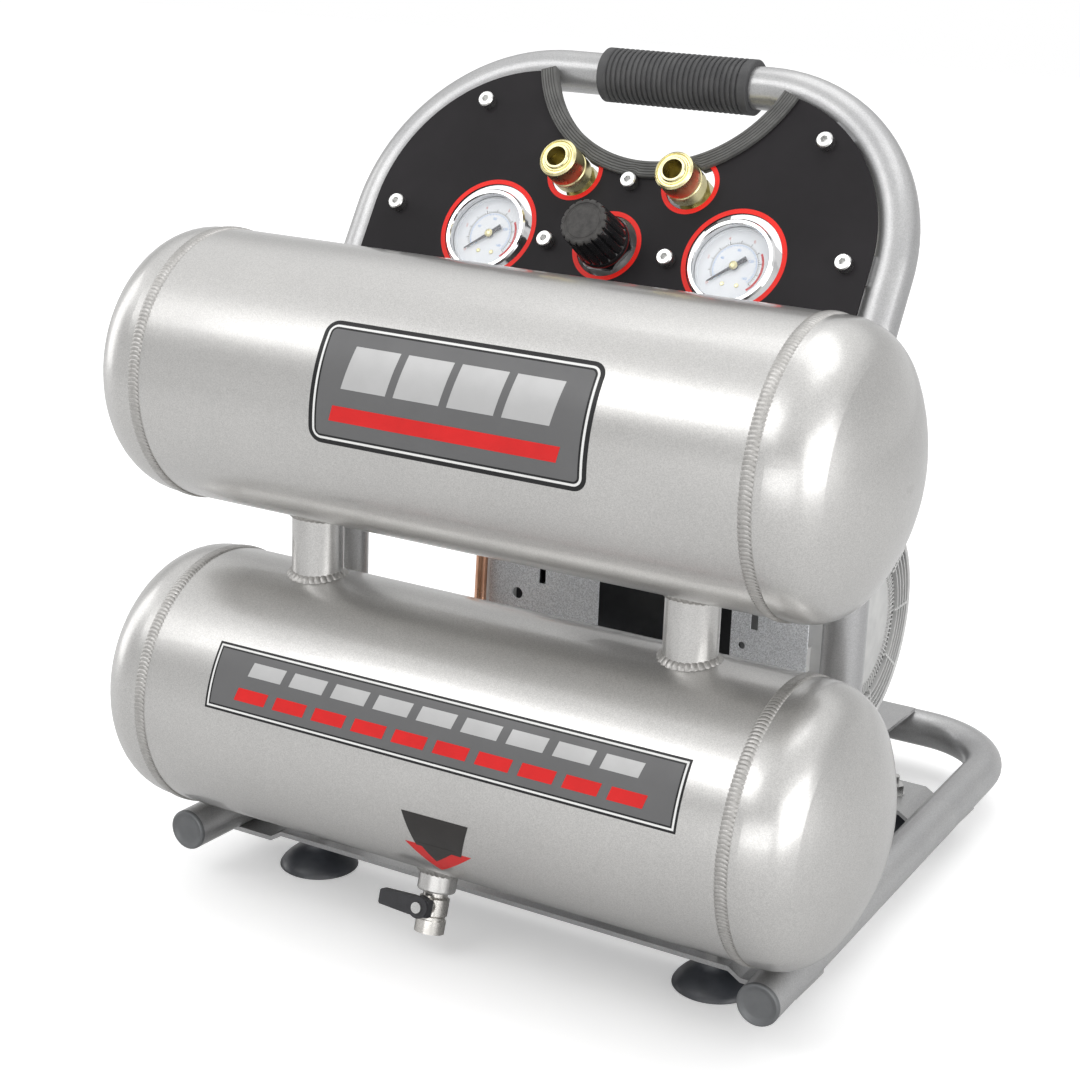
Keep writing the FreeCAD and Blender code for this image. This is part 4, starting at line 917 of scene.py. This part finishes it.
# ---- control panel ------------------------------------------------------------------
@dataclass(frozen=True)
class PanelFrame:
    """The sloped panel: local X sideways, Y up the slope, Z out of its face."""

    origin: Vector
    up: Vector
    out: Vector

    @classmethod
    def from_knob(cls, x: float = 2.0, s: float = 79.0, n: float = 20.0) -> "PanelFrame":
        """Place the frame from the knob's joint, whose place on the panel is known."""
        joint = JOINTS["regulator_knob_turn"]
        out = -Vector(joint["axis"])
        up = out.cross(X_AXIS)
        return cls(Vector(joint["pos_m"]) - (X_AXIS * x + up * s + out * n) * MM, up, out)

    def turned(self, spot: Vector) -> Matrix:
        """A matrix that stands things on the panel's axes at a point."""
        return Matrix.Translation(spot) @ Matrix((X_AXIS, self.up, self.out)).transposed().to_4x4()

    def matrix(self, x: float, s: float) -> Matrix:
        """A place on the panel's face, in millimetres, as a matrix."""
        return self.turned(self.origin + (X_AXIS * x + self.up * s) * MM)


def washer(name: str, inner: float, outer: float, low: float, high: float, segments: int = 96,
           start: float = 0.0, sweep: float = math.tau) -> bpy.types.Mesh:
    """A flat ring, or part of one, in millimetres."""
    return lathe(name, [(inner, low), (outer, low), (outer, high), (inner, high)], segments, start, sweep)


@dataclass
class PanelFace:
    """The printed rings and the edging of the hand cut-out.

    A Triple is sideways place, place up the slope and radius, in millimetres.
    """

    place: PanelFrame
    shift: float = 2.0
    gauge: Triple = (82.8, 80.2, 29.4)
    coupler: Triple = (38.8, 122.8, 15.4)
    coupler_shift: float = 2.8
    knob: Triple = (0.0, 79.0, 19.3)
    print_width: float = 2.9
    print_film: float = 0.12
    cut: Triple = (9.0, 216.0, 83.6)
    lip: float = 8.6
    roll: float = 1.6
    front: float = 3.2
    back: float = -4.5
    grooves: int = 5
    groove_margin: float = 1.6
    first_groove: float = 0.9
    groove_half: float = 0.35
    groove_deep: float = 0.5
    ends: Span = (math.radians(199.0), math.radians(339.2))
    coupler_x: Span = (-36.8, 40.8)
    sleeve_room: float = 12.6
    near_turn: float = 0.5
    least_lip: float = 0.2
    wall_gap: float = 0.05
    segments: int = 280
    screw: Triple = (5.0, 120.2, 5.4)

    def rings(self) -> bpy.types.Mesh:
        """Red rings round the instrument holes."""
        spots = [(side * self.gauge[0], *self.gauge[1:]) for side in (-1, 1)] + [self.knob]
        spots += [(side * self.coupler[0] + self.coupler_shift, *self.coupler[1:]) for side in (-1, 1)]
        return joined("rings", [placed(washer("ring", r, r + self.print_width, 0.0, self.print_film),
                                       self.place.matrix(x + self.shift, s)) for x, s, r in spots])

    def dip(self, x: float, s: float) -> float:
        """How far the edging's outer edge is set in where a coupler or a screw stands beside it."""
        middle_x, middle_s, _ = self.cut
        angle = math.atan2(s, x)
        spots = [(at, self.coupler[1], self.sleeve_room) for at in self.coupler_x] + [self.screw]
        reach = math.hypot(x, s)
        for spot_x, spot_s, r in spots:
            away = math.hypot(spot_x - middle_x, spot_s - middle_s)
            turn = angle - math.atan2(spot_s - middle_s, spot_x - middle_x)
            side = away * math.sin(turn)
            if abs(turn) < self.near_turn and abs(side) < r:
                reach = min(reach, away * math.cos(turn) - math.sqrt(r * r - side * side))
        return math.hypot(x, s) - reach

    def edging(self) -> bpy.types.Mesh:
        """Grooved rubber channel pushed on the edge of the cut-out."""
        middle_x, middle_s, r = self.cut
        outer, inner, top, low = r + self.lip, r - self.roll, self.front, self.back
        front = [(outer, 0.1), (outer, top - 0.7), (outer - 0.6, top)]
        pitch = (self.lip + self.roll - self.groove_margin) / self.grooves
        half = self.groove_half
        for i in range(self.grooves):
            at = outer - self.first_groove - pitch * i
            front += [(at, top), (at - half, top - self.groove_deep), (at - 2.0 * half, top)]
        inside = [(inner + 0.4, top - 0.1), (inner, top - 0.8), (inner, 0.9), (inner + 0.4, 0.5),
                  (inner, 0.1), (inner, -2.0), (inner + 0.4, -2.4), (inner, -2.8), (inner + 0.4, low + 0.1)]
        back = [(outer - 0.4, low), (outer, low + 0.5), (outer, -1.6), (r + 0.1, -1.6), (r + 0.1, 0.1)]
        start, end = self.ends
        mesh = lathe("edging", front + inside + back, self.segments, start, end - start)
        for vertex in mesh.vertices:
            x, s = vertex.co.x / MM, vertex.co.y / MM
            reach = math.hypot(x, s)
            if reach > r + self.wall_gap:
                dip = self.dip(x * outer / reach, s * outer / reach)
                pulled = max(r + self.least_lip, reach - dip * (reach - r) / self.lip)
                vertex.co.x *= pulled / reach
                vertex.co.y *= pulled / reach
        return placed(mesh, self.place.matrix(middle_x, middle_s))

    def add(self, shop: PaintShop) -> list[bpy.types.Object]:
        """Build the rings and the edging."""
        return [Piece("panel_printed_rings", self.rings(), ["panel_red"], "panel_charcoal").add(shop),
                Piece("cutout_edging", self.edging(), ["trim_rubber"], "trim_rubber",
                      replaces=["panel_trim"]).add(shop)]


@dataclass
class Gauge:
    """A dial gauge's printed dial, its two screws and the cap on its needle.

    Sizes are in millimetres, heights are measured from the panel's face, and marks are length,
    width and count. The outer numbers stop at the share of the scale in numbers_end.
    """

    name: str
    joint: str
    place: PanelFrame
    numbers: Sequence[str] = ("0", "2", "4", "6", "8", "10")
    numbers_end: float = 0.72
    inner_numbers: Sequence[str] = ("0", "40", "80", "120", "160")
    number_size: float = 3.1
    inner_size: float = 2.3
    pivot_n: float = -5.0
    dial_r: float = 24.3
    dial_n: float = -5.6
    step_r: float = 22.9
    zero: float = math.radians(219.0)
    sweep: float = math.radians(-258.0)
    scale_r: float = 14.4
    number_r: float = 18.4
    inner_r: float = 10.2
    long_marks: tuple[float, float, int] = (2.0, 0.36, 11)
    short_marks: tuple[float, float, int] = (1.1, 0.2, 51)
    inner_marks: tuple[float, float, int] = (0.9, 0.2, 31)
    ink: float = 0.05
    mark_thick: float = 0.06
    figure_half: float = 0.02
    limit_r: Span = (16.6, 18.0)
    limit_turn: Span = (math.radians(34.0), math.radians(-84.0))
    screw_spots: Points = ((-4.6, -11.2), (4.6, -11.2))
    screw: Points = ((0.0, 0.0), (1.3, 0.0), (1.3, 0.35), (0.9, 0.7), (0.0, 0.75))
    cap: Points = ((0.0, -3.6), (2.55, -3.6), (2.55, -2.9), (2.2, -2.5), (1.2, -2.25), (0.0, -2.2))

    def marks(self, tree: GeometryTree, shop: PaintShop, r: float, length: float, width: float,
              count: int) -> bpy.types.Mesh:
        """Evenly spread tick marks, standing outwards from a radius."""
        mesh = tree.run("marks", Radius=(r + length / 2) * MM, Start=self.zero, Sweep=self.sweep,
                        Count=count, Bar=(length * MM, width * MM, self.mark_thick * MM),
                        Finish=shop.get("ink_black"))
        height = self.dial_n + self.mark_thick / 2
        return placed(mesh, Matrix.Translation((0.0, 0.0, height * MM)))

    def figure(self, text: str, share: float, r: float, size: float) -> bpy.types.Mesh:
        """One number of the scale, upright at its place."""
        curve = bpy.data.curves.new("figure", "FONT")
        curve.body = text
        curve.size = size * MM
        curve.align_x = "CENTER"
        curve.align_y = "CENTER"
        curve.resolution_u = 3
        curve.extrude = self.figure_half * MM
        carrier = bpy.data.objects.new("figure", curve)
        bpy.context.scene.collection.objects.link(carrier)
        evaluated = carrier.evaluated_get(bpy.context.evaluated_depsgraph_get())
        mesh = bpy.data.meshes.new_from_object(evaluated)
        bpy.data.objects.remove(carrier)
        angle = self.zero + self.sweep * share
        height = self.dial_n + self.mark_thick / 2
        spot = Vector((r * math.cos(angle), r * math.sin(angle), height)) * MM
        return placed(cleaned(mesh, "figure"), Matrix.Translation(spot))

    def add(self, shop: PaintShop, tree: GeometryTree) -> list[bpy.types.Object]:
        """Build the dial's print, its screws and the needle's cap.

        Args:
            shop: where the materials come from.
            tree: the tree of radial bars.

        Returns:
            The objects.
        """
        n = self.dial_n
        top = n + self.ink
        arc = (96, self.zero, self.sweep)
        r = self.scale_r
        last = len(self.numbers) - 1
        parts = [(0, washer("dial", 1.2, self.dial_r, n - 1.0, n)),
                 (0, washer("step", self.step_r, self.dial_r, n, n + 0.9)),
                 (1, self.marks(tree, shop, r, *self.long_marks)),
                 (1, self.marks(tree, shop, r, *self.short_marks)),
                 (1, washer("scale", r - 0.1, r + 0.1, n, top, *arc)),
                 (2, washer("inner", r - 1.0, r - 0.8, n, top, *arc)),
                 (2, self.marks(tree, shop, r - 1.9, *self.inner_marks)),
                 (3, washer("limit", *self.limit_r, n, top, 40, *self.limit_turn))]
        parts += [(4, self.figure(text, i / last, self.number_r, self.number_size))
                  for i, text in enumerate(self.numbers) if i / last < self.numbers_end]
        inner_last = len(self.inner_numbers) - 1
        parts += [(2, self.figure(text, i / inner_last, self.inner_r, self.inner_size))
                  for i, text in enumerate(self.inner_numbers)]
        whole = joined(self.name, [numbered(mesh, index) for index, mesh in parts])
        head = [(radius, n + rise) for radius, rise in self.screw]
        screws = joined("screws", [placed(lathe("screw", head, 24),
                                          Matrix.Translation((x * MM, s * MM, 0.0)))
                                   for x, s in self.screw_spots])
        joint = JOINTS[self.joint]
        place = self.place.turned(Vector(joint["pos_m"]) - self.place.out * self.pivot_n * MM)
        inks = ["dial_white", "ink_black", "ink_blue", "ink_red", "ink_coral"]
        return [Piece(self.name + "_dial", whole, inks, "dial_white", place=place,
                      replaces=["gauge_dials"]).add(shop),
                Piece(self.name + "_dial_screws", screws, ["yellow_brass"], "zinc_steel",
                      place=place).add(shop),
                Piece(self.name + "_needle_cap", lathe("cap", self.cap, 32), ["yellow_brass"],
                      "yellow_brass", body=joint["child"], place=place).add(shop)]


@dataclass
class RegulatorKnob:
    """The fluted pressure knob.

    Its outline gives radius, height and how much of a flute's depth each point takes. The steps
    of the outline in crown are the rounded rim and the top.
    """

    place: PanelFrame
    x: float = 2.0
    s: float = 79.0
    flutes: int = 18
    flute_half: float = 0.2
    groove: float = 1.25
    steps: int = 14
    crown: Sequence[int] = range(10, 17)
    outline: Sequence[Triple] = (
        (7.6, 4.2, 0.0), (16.0, 4.2, 0.0), (16.6, 4.8, 0.0), (16.6, 7.6, 0.0), (16.2, 8.3, 0.0),
        (16.0, 8.8, 0.0), (15.95, 9.6, 1.0), (15.6, 17.0, 1.0), (15.1, 25.0, 1.0), (14.7, 32.4, 1.0),
        (14.4, 34.0, 0.9), (13.7, 34.9, 0.6), (12.8, 35.2, 0.0), (12.0, 35.1, 0.0), (11.7, 34.6, 0.0),
        (10.4, 34.6, 0.0), (10.1, 34.9, 0.0), (0.0, 35.0, 0.0), (0.0, 30.0, 0.0), (4.3, 30.0, 0.0),
        (4.3, 9.0, 0.0), (7.6, 9.0, 0.0))

    def mesh(self) -> bpy.types.Mesh:
        """A turned body whose radius dips in each flute."""
        bm = bmesh.new()
        around = self.flutes * self.steps
        rings = []
        for i in range(around):
            angle = math.tau * i / around
            share = (i % self.steps) / self.steps
            dip = math.cos(math.pi * min(1.0, abs(share - 0.5) / self.flute_half)) * 0.5 + 0.5
            turn = Vector((math.cos(angle), math.sin(angle), 0.0))
            rings.append([bm.verts.new((turn * (r - self.groove * dip * deep) + Z_AXIS * h) * MM)
                          for r, h, deep in self.outline])
        skin(bm, rings, [r for r, _, _ in self.outline], second=self.crown)
        return mesh_from(bm, "knob")

    def add(self, shop: PaintShop) -> bpy.types.Object:
        """Build the knob on its own body."""
        return Piece("fluted_pressure_knob", self.mesh(), ["gloss_black", "knob_top"], "gloss_black",
                     body="regulator_knob", replaces=["regulator_knob"],
                     place=self.place.matrix(self.x, self.s)).add(shop)


# ---- grip, feet and guards ----------------------------------------------------------
def along_x(spot: Vector, side: int = 1) -> Matrix:
    """A matrix that carries local Z to plus or minus X at a point."""
    turn = Matrix.Rotation(side * math.pi / 2, 4, "Y")
    return Matrix.Translation(spot) @ turn


@dataclass
class CarryGrip:
    """Ribbed rubber sleeve on the hoop's top bar."""

    tube_r: float = 12.75
    land_r: float = 15.3
    band: float = 6.2
    ribs: int = 25
    rib_r: float = 1.28
    rib_room: float = 2.0

    def add(self, shop: PaintShop) -> bpy.types.Object:
        """Build the sleeve with its ribs."""
        low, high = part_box("handle_grip")
        centre = (low + high) / 2
        outer = (high.z - low.z) / 2 / MM
        length = (high.x - low.x) / MM
        band, land = self.band, self.land_r
        half = [(self.tube_r, 0.0), (outer - 0.8, 0.0), (outer - 0.1, 0.7), (outer - 0.1, band - 0.7),
                (outer - 0.7, band), (land, band + 0.3)]
        profile = half + [(r, length - h) for r, h in reversed(half)]
        sleeve = placed(lathe("sleeve", profile, 72), along_x(Vector((low.x, centre.y, centre.z))))
        room = (band + self.rib_room) * MM
        path = path_mesh([Vector((x, centre.y, centre.z)) for x in (low.x + room, high.x - room)],
                         closed=False)
        ribs = rib_tree().run("ribs", path, Count=self.ribs, Radius=land * MM, Rib=self.rib_r * MM,
                              Finish=shop.get("grip_rubber"))
        return Piece("ribbed_grip", joined("grip", [sleeve, ribs]), ["grip_rubber"], "grip_rubber",
                     replaces=["handle_grip"]).add(shop)


@dataclass
class RubberFeet:
    """Four suction-cup feet; each mount sits on the +X side of the rim that touches the ground."""

    rim: float = 22.5
    profile: Points = ((4.2, 9.0), (9.0, 9.0), (14.5, 7.0), (19.6, 0.8), (21.0, 0.0), (24.4, 0.0),
                       (25.0, 0.5), (24.8, 1.5), (23.2, 4.0), (20.4, 7.0), (16.6, 10.2), (12.8, 12.6),
                       (10.7, 14.8), (10.0, 17.4), (10.3, 20.0), (11.5, 21.6), (4.2, 21.6))

    def add(self, shop: PaintShop) -> bpy.types.Object:
        """Build the feet at their mounts."""
        feet = []
        for name, mount in sorted(MOUNTS.items()):
            if name.startswith("foot_"):
                middle = Vector(mount["pos_m"]) - X_AXIS * self.rim * MM
                feet.append(placed(lathe("foot", self.profile, 72), Matrix.Translation(middle)))
        return Piece("suction_feet", joined("feet", feet), ["foot_rubber"], "foot_rubber",
                     replaces=["rubber_feet"]).add(shop)


@dataclass
class FanGuards:
    """Ringed guard in front of each cooling fan; a dark lining inside its rim is painted shade, and a dark
    back disc paints both the black fan behind and the shade inside the guard.
    """

    rim_r: float = 74.0
    deep: float = 24.0
    ring_r: Sequence[float] = (53.0, 57.5, 62.0, 66.5)
    ring_half: float = 0.55
    ring_n: Span = (-3.6, -0.3)
    hub: Points = ((0.0, 0.0), (14.0, 0.0), (42.0, -3.0), (49.5, -3.0), (49.5, -6.0), (42.0, -6.0),
                   (14.0, -3.0), (0.0, -3.0))
    spokes: int = 10
    spoke_r: float = 60.5
    spoke_bar: Triple = (22.6, 1.5, 2.6)
    spoke_n: float = -1.8
    ribs: int = 96
    rib_r: float = 45.8
    rib_bar: Triple = (6.6, 0.9, 1.6)
    rib_n: float = -2.4
    shade_backing_r: float = 38.0
    tab: Triple = (11.0, 7.4, 16.0)
    tab_x: float = 111.5
    tab_out: float = 1.9

    def spread(self, shop: PaintShop, tree: GeometryTree, count: int, r: float, bar: Triple,
               n: float, start: float) -> bpy.types.Mesh:
        """Radial bars all the way round at one radius and height."""
        mesh = tree.run("bars", Radius=r * MM, Start=start, Sweep=math.tau * (1.0 - 1.0 / count),
                        Count=count, Bar=tuple(size * MM for size in bar), Finish=shop.get("guard_grey"))
        return placed(mesh, Matrix.Translation((0.0, 0.0, n * MM)))

    def local(self, shop: PaintShop, tree: GeometryTree) -> list[bpy.types.Mesh]:
        """The meshes of one guard, its outer face at Z = 0 and its axis along Z.

        Args:
            shop: where the materials come from.
            tree: the tree of radial bars.

        Returns:
            Meshes, each numbered with its material.
        """
        rim, deep = self.rim_r, self.deep
        light = [lathe("rim", [(rim - 3.0, -deep), (rim, -deep), (rim, -0.8), (rim - 0.8, 0.0),
                               (rim - 2.2, 0.0), (rim - 3.0, -0.8)], 120)]
        light += [washer("bar", r - self.ring_half, r + self.ring_half, *self.ring_n) for r in self.ring_r]
        light += [lathe("hub", self.hub),
                  self.spread(shop, tree, self.spokes, self.spoke_r, self.spoke_bar, self.spoke_n,
                              math.pi / self.spokes),
                  self.spread(shop, tree, self.ribs, self.rib_r, self.rib_bar, self.rib_n, 0.0)]
        # painted shade: the dark sheet inside the rim stands for shade; the dark disc at the back stands for
        # shade and for the black fan behind it
        dark = [washer("shade_lining", rim - 3.6, rim - 3.05, -deep + 2.0, -2.0),
                washer("shade_backing", self.shade_backing_r, rim - 3.1, -deep, 1.2 - deep)]
        return [numbered(mesh, 0) for mesh in light] + [numbered(mesh, 1) for mesh in dark]

    def mounting_tab(self, side: int, axis: Vector) -> bpy.types.Mesh:
        """The small block that fixes a guard, in front of its rim."""
        bm = bmesh.new()
        spot = Vector((side * self.tab_x * MM, axis.y - (self.rim_r + self.tab_out) * MM, axis.z))
        bmesh.ops.create_cube(bm, size=1.0, matrix=Matrix.LocRotScale(spot, None, Vector(self.tab) * MM))
        return numbered(mesh_from(bm, "tab"), 0)

    def add(self, shop: PaintShop, tree: GeometryTree) -> list[bpy.types.Object]:
        """Build both guards.

        Args:
            shop: where the materials come from.
            tree: the tree of radial bars.

        Returns:
            The objects.
        """
        axis = Vector(JOINTS["rotor_spin"]["pos_m"])
        made = []
        for side, name in ((-1, "left"), (1, "right")):
            low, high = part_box(name + "_fan_guard")
            face = side * max(abs(low.x), abs(high.x))
            whole = placed(joined("guard", self.local(shop, tree)),
                           along_x(Vector((face, axis.y, axis.z)), side))
            parts = joined("guard", [whole, self.mounting_tab(side, axis)])
            made.append(Piece(name + "_ringed_guard", parts, ["guard_grey", "fan_black"], "guard_grey",
                              replaces=[name + "_fan_guard"]).add(shop))
        return made


@dataclass
class RailEndCaps:
    """Dished plugs in the two front ends of the base rail."""

    x: float = 197.1
    z: float = 32.4
    front: float = -30.0
    toe: float = math.atan2(12.7, 377.0)
    profile: Points = ((0.0, 2.0), (0.0, -0.9), (7.6, -1.0), (9.4, -1.4), (10.4, -2.3), (11.5, -2.5),
                       (12.4, -2.0), (12.7, -1.2), (12.7, 0.0), (10.9, 0.0), (10.9, 12.0), (7.0, 12.0),
                       (7.0, 2.0))

    def add(self, shop: PaintShop, axis_y: float) -> bpy.types.Object:
        """Build both caps.

        Args:
            shop: where the materials come from.
            axis_y: depth of the tank axes, in metres.

        Returns:
            The object.
        """
        caps = []
        for side in (-1, 1):
            inward = Vector((-side * math.sin(self.toe), math.cos(self.toe), 0.0))
            turn = Matrix((Z_AXIS.cross(inward), -Z_AXIS, inward)).transposed().to_4x4()
            spot = Vector((side * self.x * MM, axis_y + self.front * MM, self.z * MM))
            caps.append(placed(lathe("cap", self.profile, 72), Matrix.Translation(spot) @ turn))
        return Piece("dished_end_caps", joined("caps", caps), ["cap_grey"], "cap_grey",
                     replaces=["rail_end_caps"]).add(shop)


# ---- studio -------------------------------------------------------------------------
@dataclass(frozen=True)
class Softbox:
    """A rectangular light: its place, its width and height in metres, and its power in watts."""

    name: str
    place: Triple
    size: Span
    power: float

    def light(self, aim: Vector) -> None:
        """Put the light in the scene, turned to face a point."""
        lamp = bpy.data.lights.new(self.name, "AREA")
        lamp.shape = "RECTANGLE"
        lamp.size, lamp.size_y = self.size
        lamp.energy = self.power
        made = bpy.data.objects.new(self.name, lamp)
        bpy.context.scene.collection.objects.link(made)
        made.location = Vector(self.place)
        made.rotation_euler = (aim - made.location).to_track_quat("-Z", "Y").to_euler()


@dataclass
class Studio:
    """Pale floor, soft lights, and the camera.

    The surround goes from the level of the horizon to that of the wall, and then to that of the
    ceiling, between the heights that the two bands give.
    """

    azimuth: float = 0.525
    elevation: float = 0.297
    roll: float = 0.037
    distance: float = 1.246379
    focal: float = 74.205
    aim_x: float = 31.804 * MM
    aim_z: float = 257.66 * MM
    floor_half: float = 6.0
    horizon: float = 0.80
    wall: float = 0.54
    ceiling: float = 0.98
    floor_share: float = 0.68
    floor_lift: float = 0.3
    wall_band: Span = (-0.1, 0.3)
    ceiling_band: Span = (0.40, 0.62)
    sensor: float = 36.0
    clip: Span = (0.05, 50.0)
    lamp_aim_z: float = 0.25
    softboxes: Sequence[Softbox] = (
        Softbox("key_softbox", (-1.2, -2.2, 2.4), (1.8, 1.2), 15.0),
        Softbox("fill_softbox", (2.8, -1.1, 0.9), (2.4, 1.8), 30.0),
        Softbox("top_softbox", (0.2, 0.4, 2.6), (2.4, 1.4), 12.0),
        Softbox("low_softbox", (0.6, -2.6, 0.45), (2.6, 0.8), 10.0),
        Softbox("side_softbox", (-2.4, -0.4, 0.9), (1.0, 1.8), 8.0))

    def floor(self) -> None:
        """A large pale floor with a faint mottle."""
        bm = bmesh.new()
        bmesh.ops.create_grid(bm, x_segments=8, y_segments=8, size=self.floor_half)
        mesh = bpy.data.meshes.new("studio_floor")
        bm.to_mesh(mesh)
        bm.free()
        pale = Finish((0.93, 0.93, 0.93), (0.91, 0.91, 0.91), 0.0, 0.6, 0.05, 2.0, scale=60.0, depth=0.01)
        paper = pale.material("studio_paper", EffectShelf())
        shader = paper.node_tree.nodes["Principled BSDF"]
        sheet = NodeSheet(paper.node_tree)
        seen = sheet.add("ShaderNodeLightPath").outputs["Is Camera Ray"]
        share = sheet.out("ShaderNodeMapRange", {"Value": seen, "To Min": self.floor_share})
        tone = shader.inputs["Base Color"].links[0].from_socket
        toned = sheet.add("ShaderNodeMix", {0: 1.0, 6: tone, 7: share},
                          data_type="RGBA", blend_type="MULTIPLY").outputs[2]
        sheet.feed(shader, {"Base Color": toned, "Emission Color": (1.0, 1.0, 1.0, 1.0),
                            "Emission Strength": sheet.maths("MULTIPLY", seen, self.floor_lift)})
        mesh.materials.append(paper)
        made = bpy.data.objects.new("studio_floor", mesh)
        bpy.context.scene.collection.objects.link(made)

    def lights(self) -> None:
        """A surround with a darker wall under a pale ceiling, and softboxes on every side."""
        world = bpy.data.worlds.new("surround")
        world.use_nodes = True
        sheet = NodeSheet(world.node_tree)
        way = sheet.add("ShaderNodeTexCoord").outputs["Generated"]
        height = sheet.add("ShaderNodeSeparateXYZ", {0: way}).outputs[2]
        wall = sheet.out("ShaderNodeMapRange", {
            "Value": height, "From Min": self.wall_band[0], "From Max": self.wall_band[1],
            "To Min": self.horizon, "To Max": self.wall})
        ceiling = sheet.out("ShaderNodeMapRange", {
            "Value": height, "From Min": self.ceiling_band[0], "From Max": self.ceiling_band[1],
            "To Max": self.ceiling - self.wall})
        seen = sheet.add("ShaderNodeLightPath").outputs["Is Camera Ray"]
        sheet.feed(world.node_tree.nodes["Background"], {
            "Color": (1.0, 1.0, 1.0, 1.0),
            "Strength": sheet.maths("MAXIMUM", sheet.maths("ADD", wall, ceiling), seen)})
        bpy.context.scene.world = world
        for softbox in self.softboxes:
            softbox.light(Vector((0.0, 0.0, self.lamp_aim_z)))
        bpy.context.scene.view_settings.view_transform = "Standard"

    def camera(self, aim_y: float) -> None:
        """Place the camera.

        Args:
            aim_y: depth of the point that it looks at.
        """
        back = Vector((math.sin(self.azimuth) * math.cos(self.elevation),
                       -math.cos(self.azimuth) * math.cos(self.elevation), math.sin(self.elevation)))
        level = (-back).cross(Z_AXIS).normalized()
        upright = level.cross(-back)
        right = level * math.cos(self.roll) + upright * math.sin(self.roll)
        up = upright * math.cos(self.roll) - level * math.sin(self.roll)
        lens = bpy.data.cameras.new("camera")
        lens.lens = self.focal
        lens.sensor_width = self.sensor
        lens.clip_start, lens.clip_end = self.clip
        made = bpy.data.objects.new("camera", lens)
        bpy.context.scene.collection.objects.link(made)
        spot = Vector((self.aim_x, aim_y, self.aim_z)) + back * self.distance
        turn = Matrix((right, up, back)).transposed().to_4x4()
        made.matrix_world = Matrix.Translation(spot) @ turn
        bpy.context.scene.camera = made


def report(made: bpy.types.Object | Iterable[bpy.types.Object]) -> None:
    """Log each piece with its number of faces."""
    for piece in [made] if isinstance(made, bpy.types.Object) else made:
        LOG.info("%s: %d faces", piece.name, len(piece.data.polygons))


def main() -> None:
    """Dress the CAD nodes, build the fine pieces, and set up the studio."""
    logging.basicConfig(level=logging.INFO, format="%(name)s %(message)s")
    upper = Cylinder.of_node("upper_tank_shell")
    lower = Cylinder.of_node("lower_tank_shell")
    studio = Studio()
    studio.camera(upper.y)
    shop = PaintShop()
    LOG.info("%d nodes dressed", shop.dress_nodes())
    report(WeldBeads(upper, lower).add(shop))
    report(TankLabels(upper, lower).add(shop))
    place = PanelFrame.from_knob()
    report(PanelFace(place).add(shop))
    bars = spoke_tree()
    for name, joint in (("tank_pressure", "tank_needle_turn"), ("outlet_pressure", "outlet_needle_turn")):
        report(Gauge(name, joint, place).add(shop, bars))
    report(RegulatorKnob(place).add(shop))
    report(CarryGrip().add(shop))
    report(RubberFeet().add(shop))
    report(FanGuards().add(shop, bars))
    report(RailEndCaps().add(shop, upper.y))
    studio.floor()
    studio.lights()


if __name__ == "__main__":
    main()
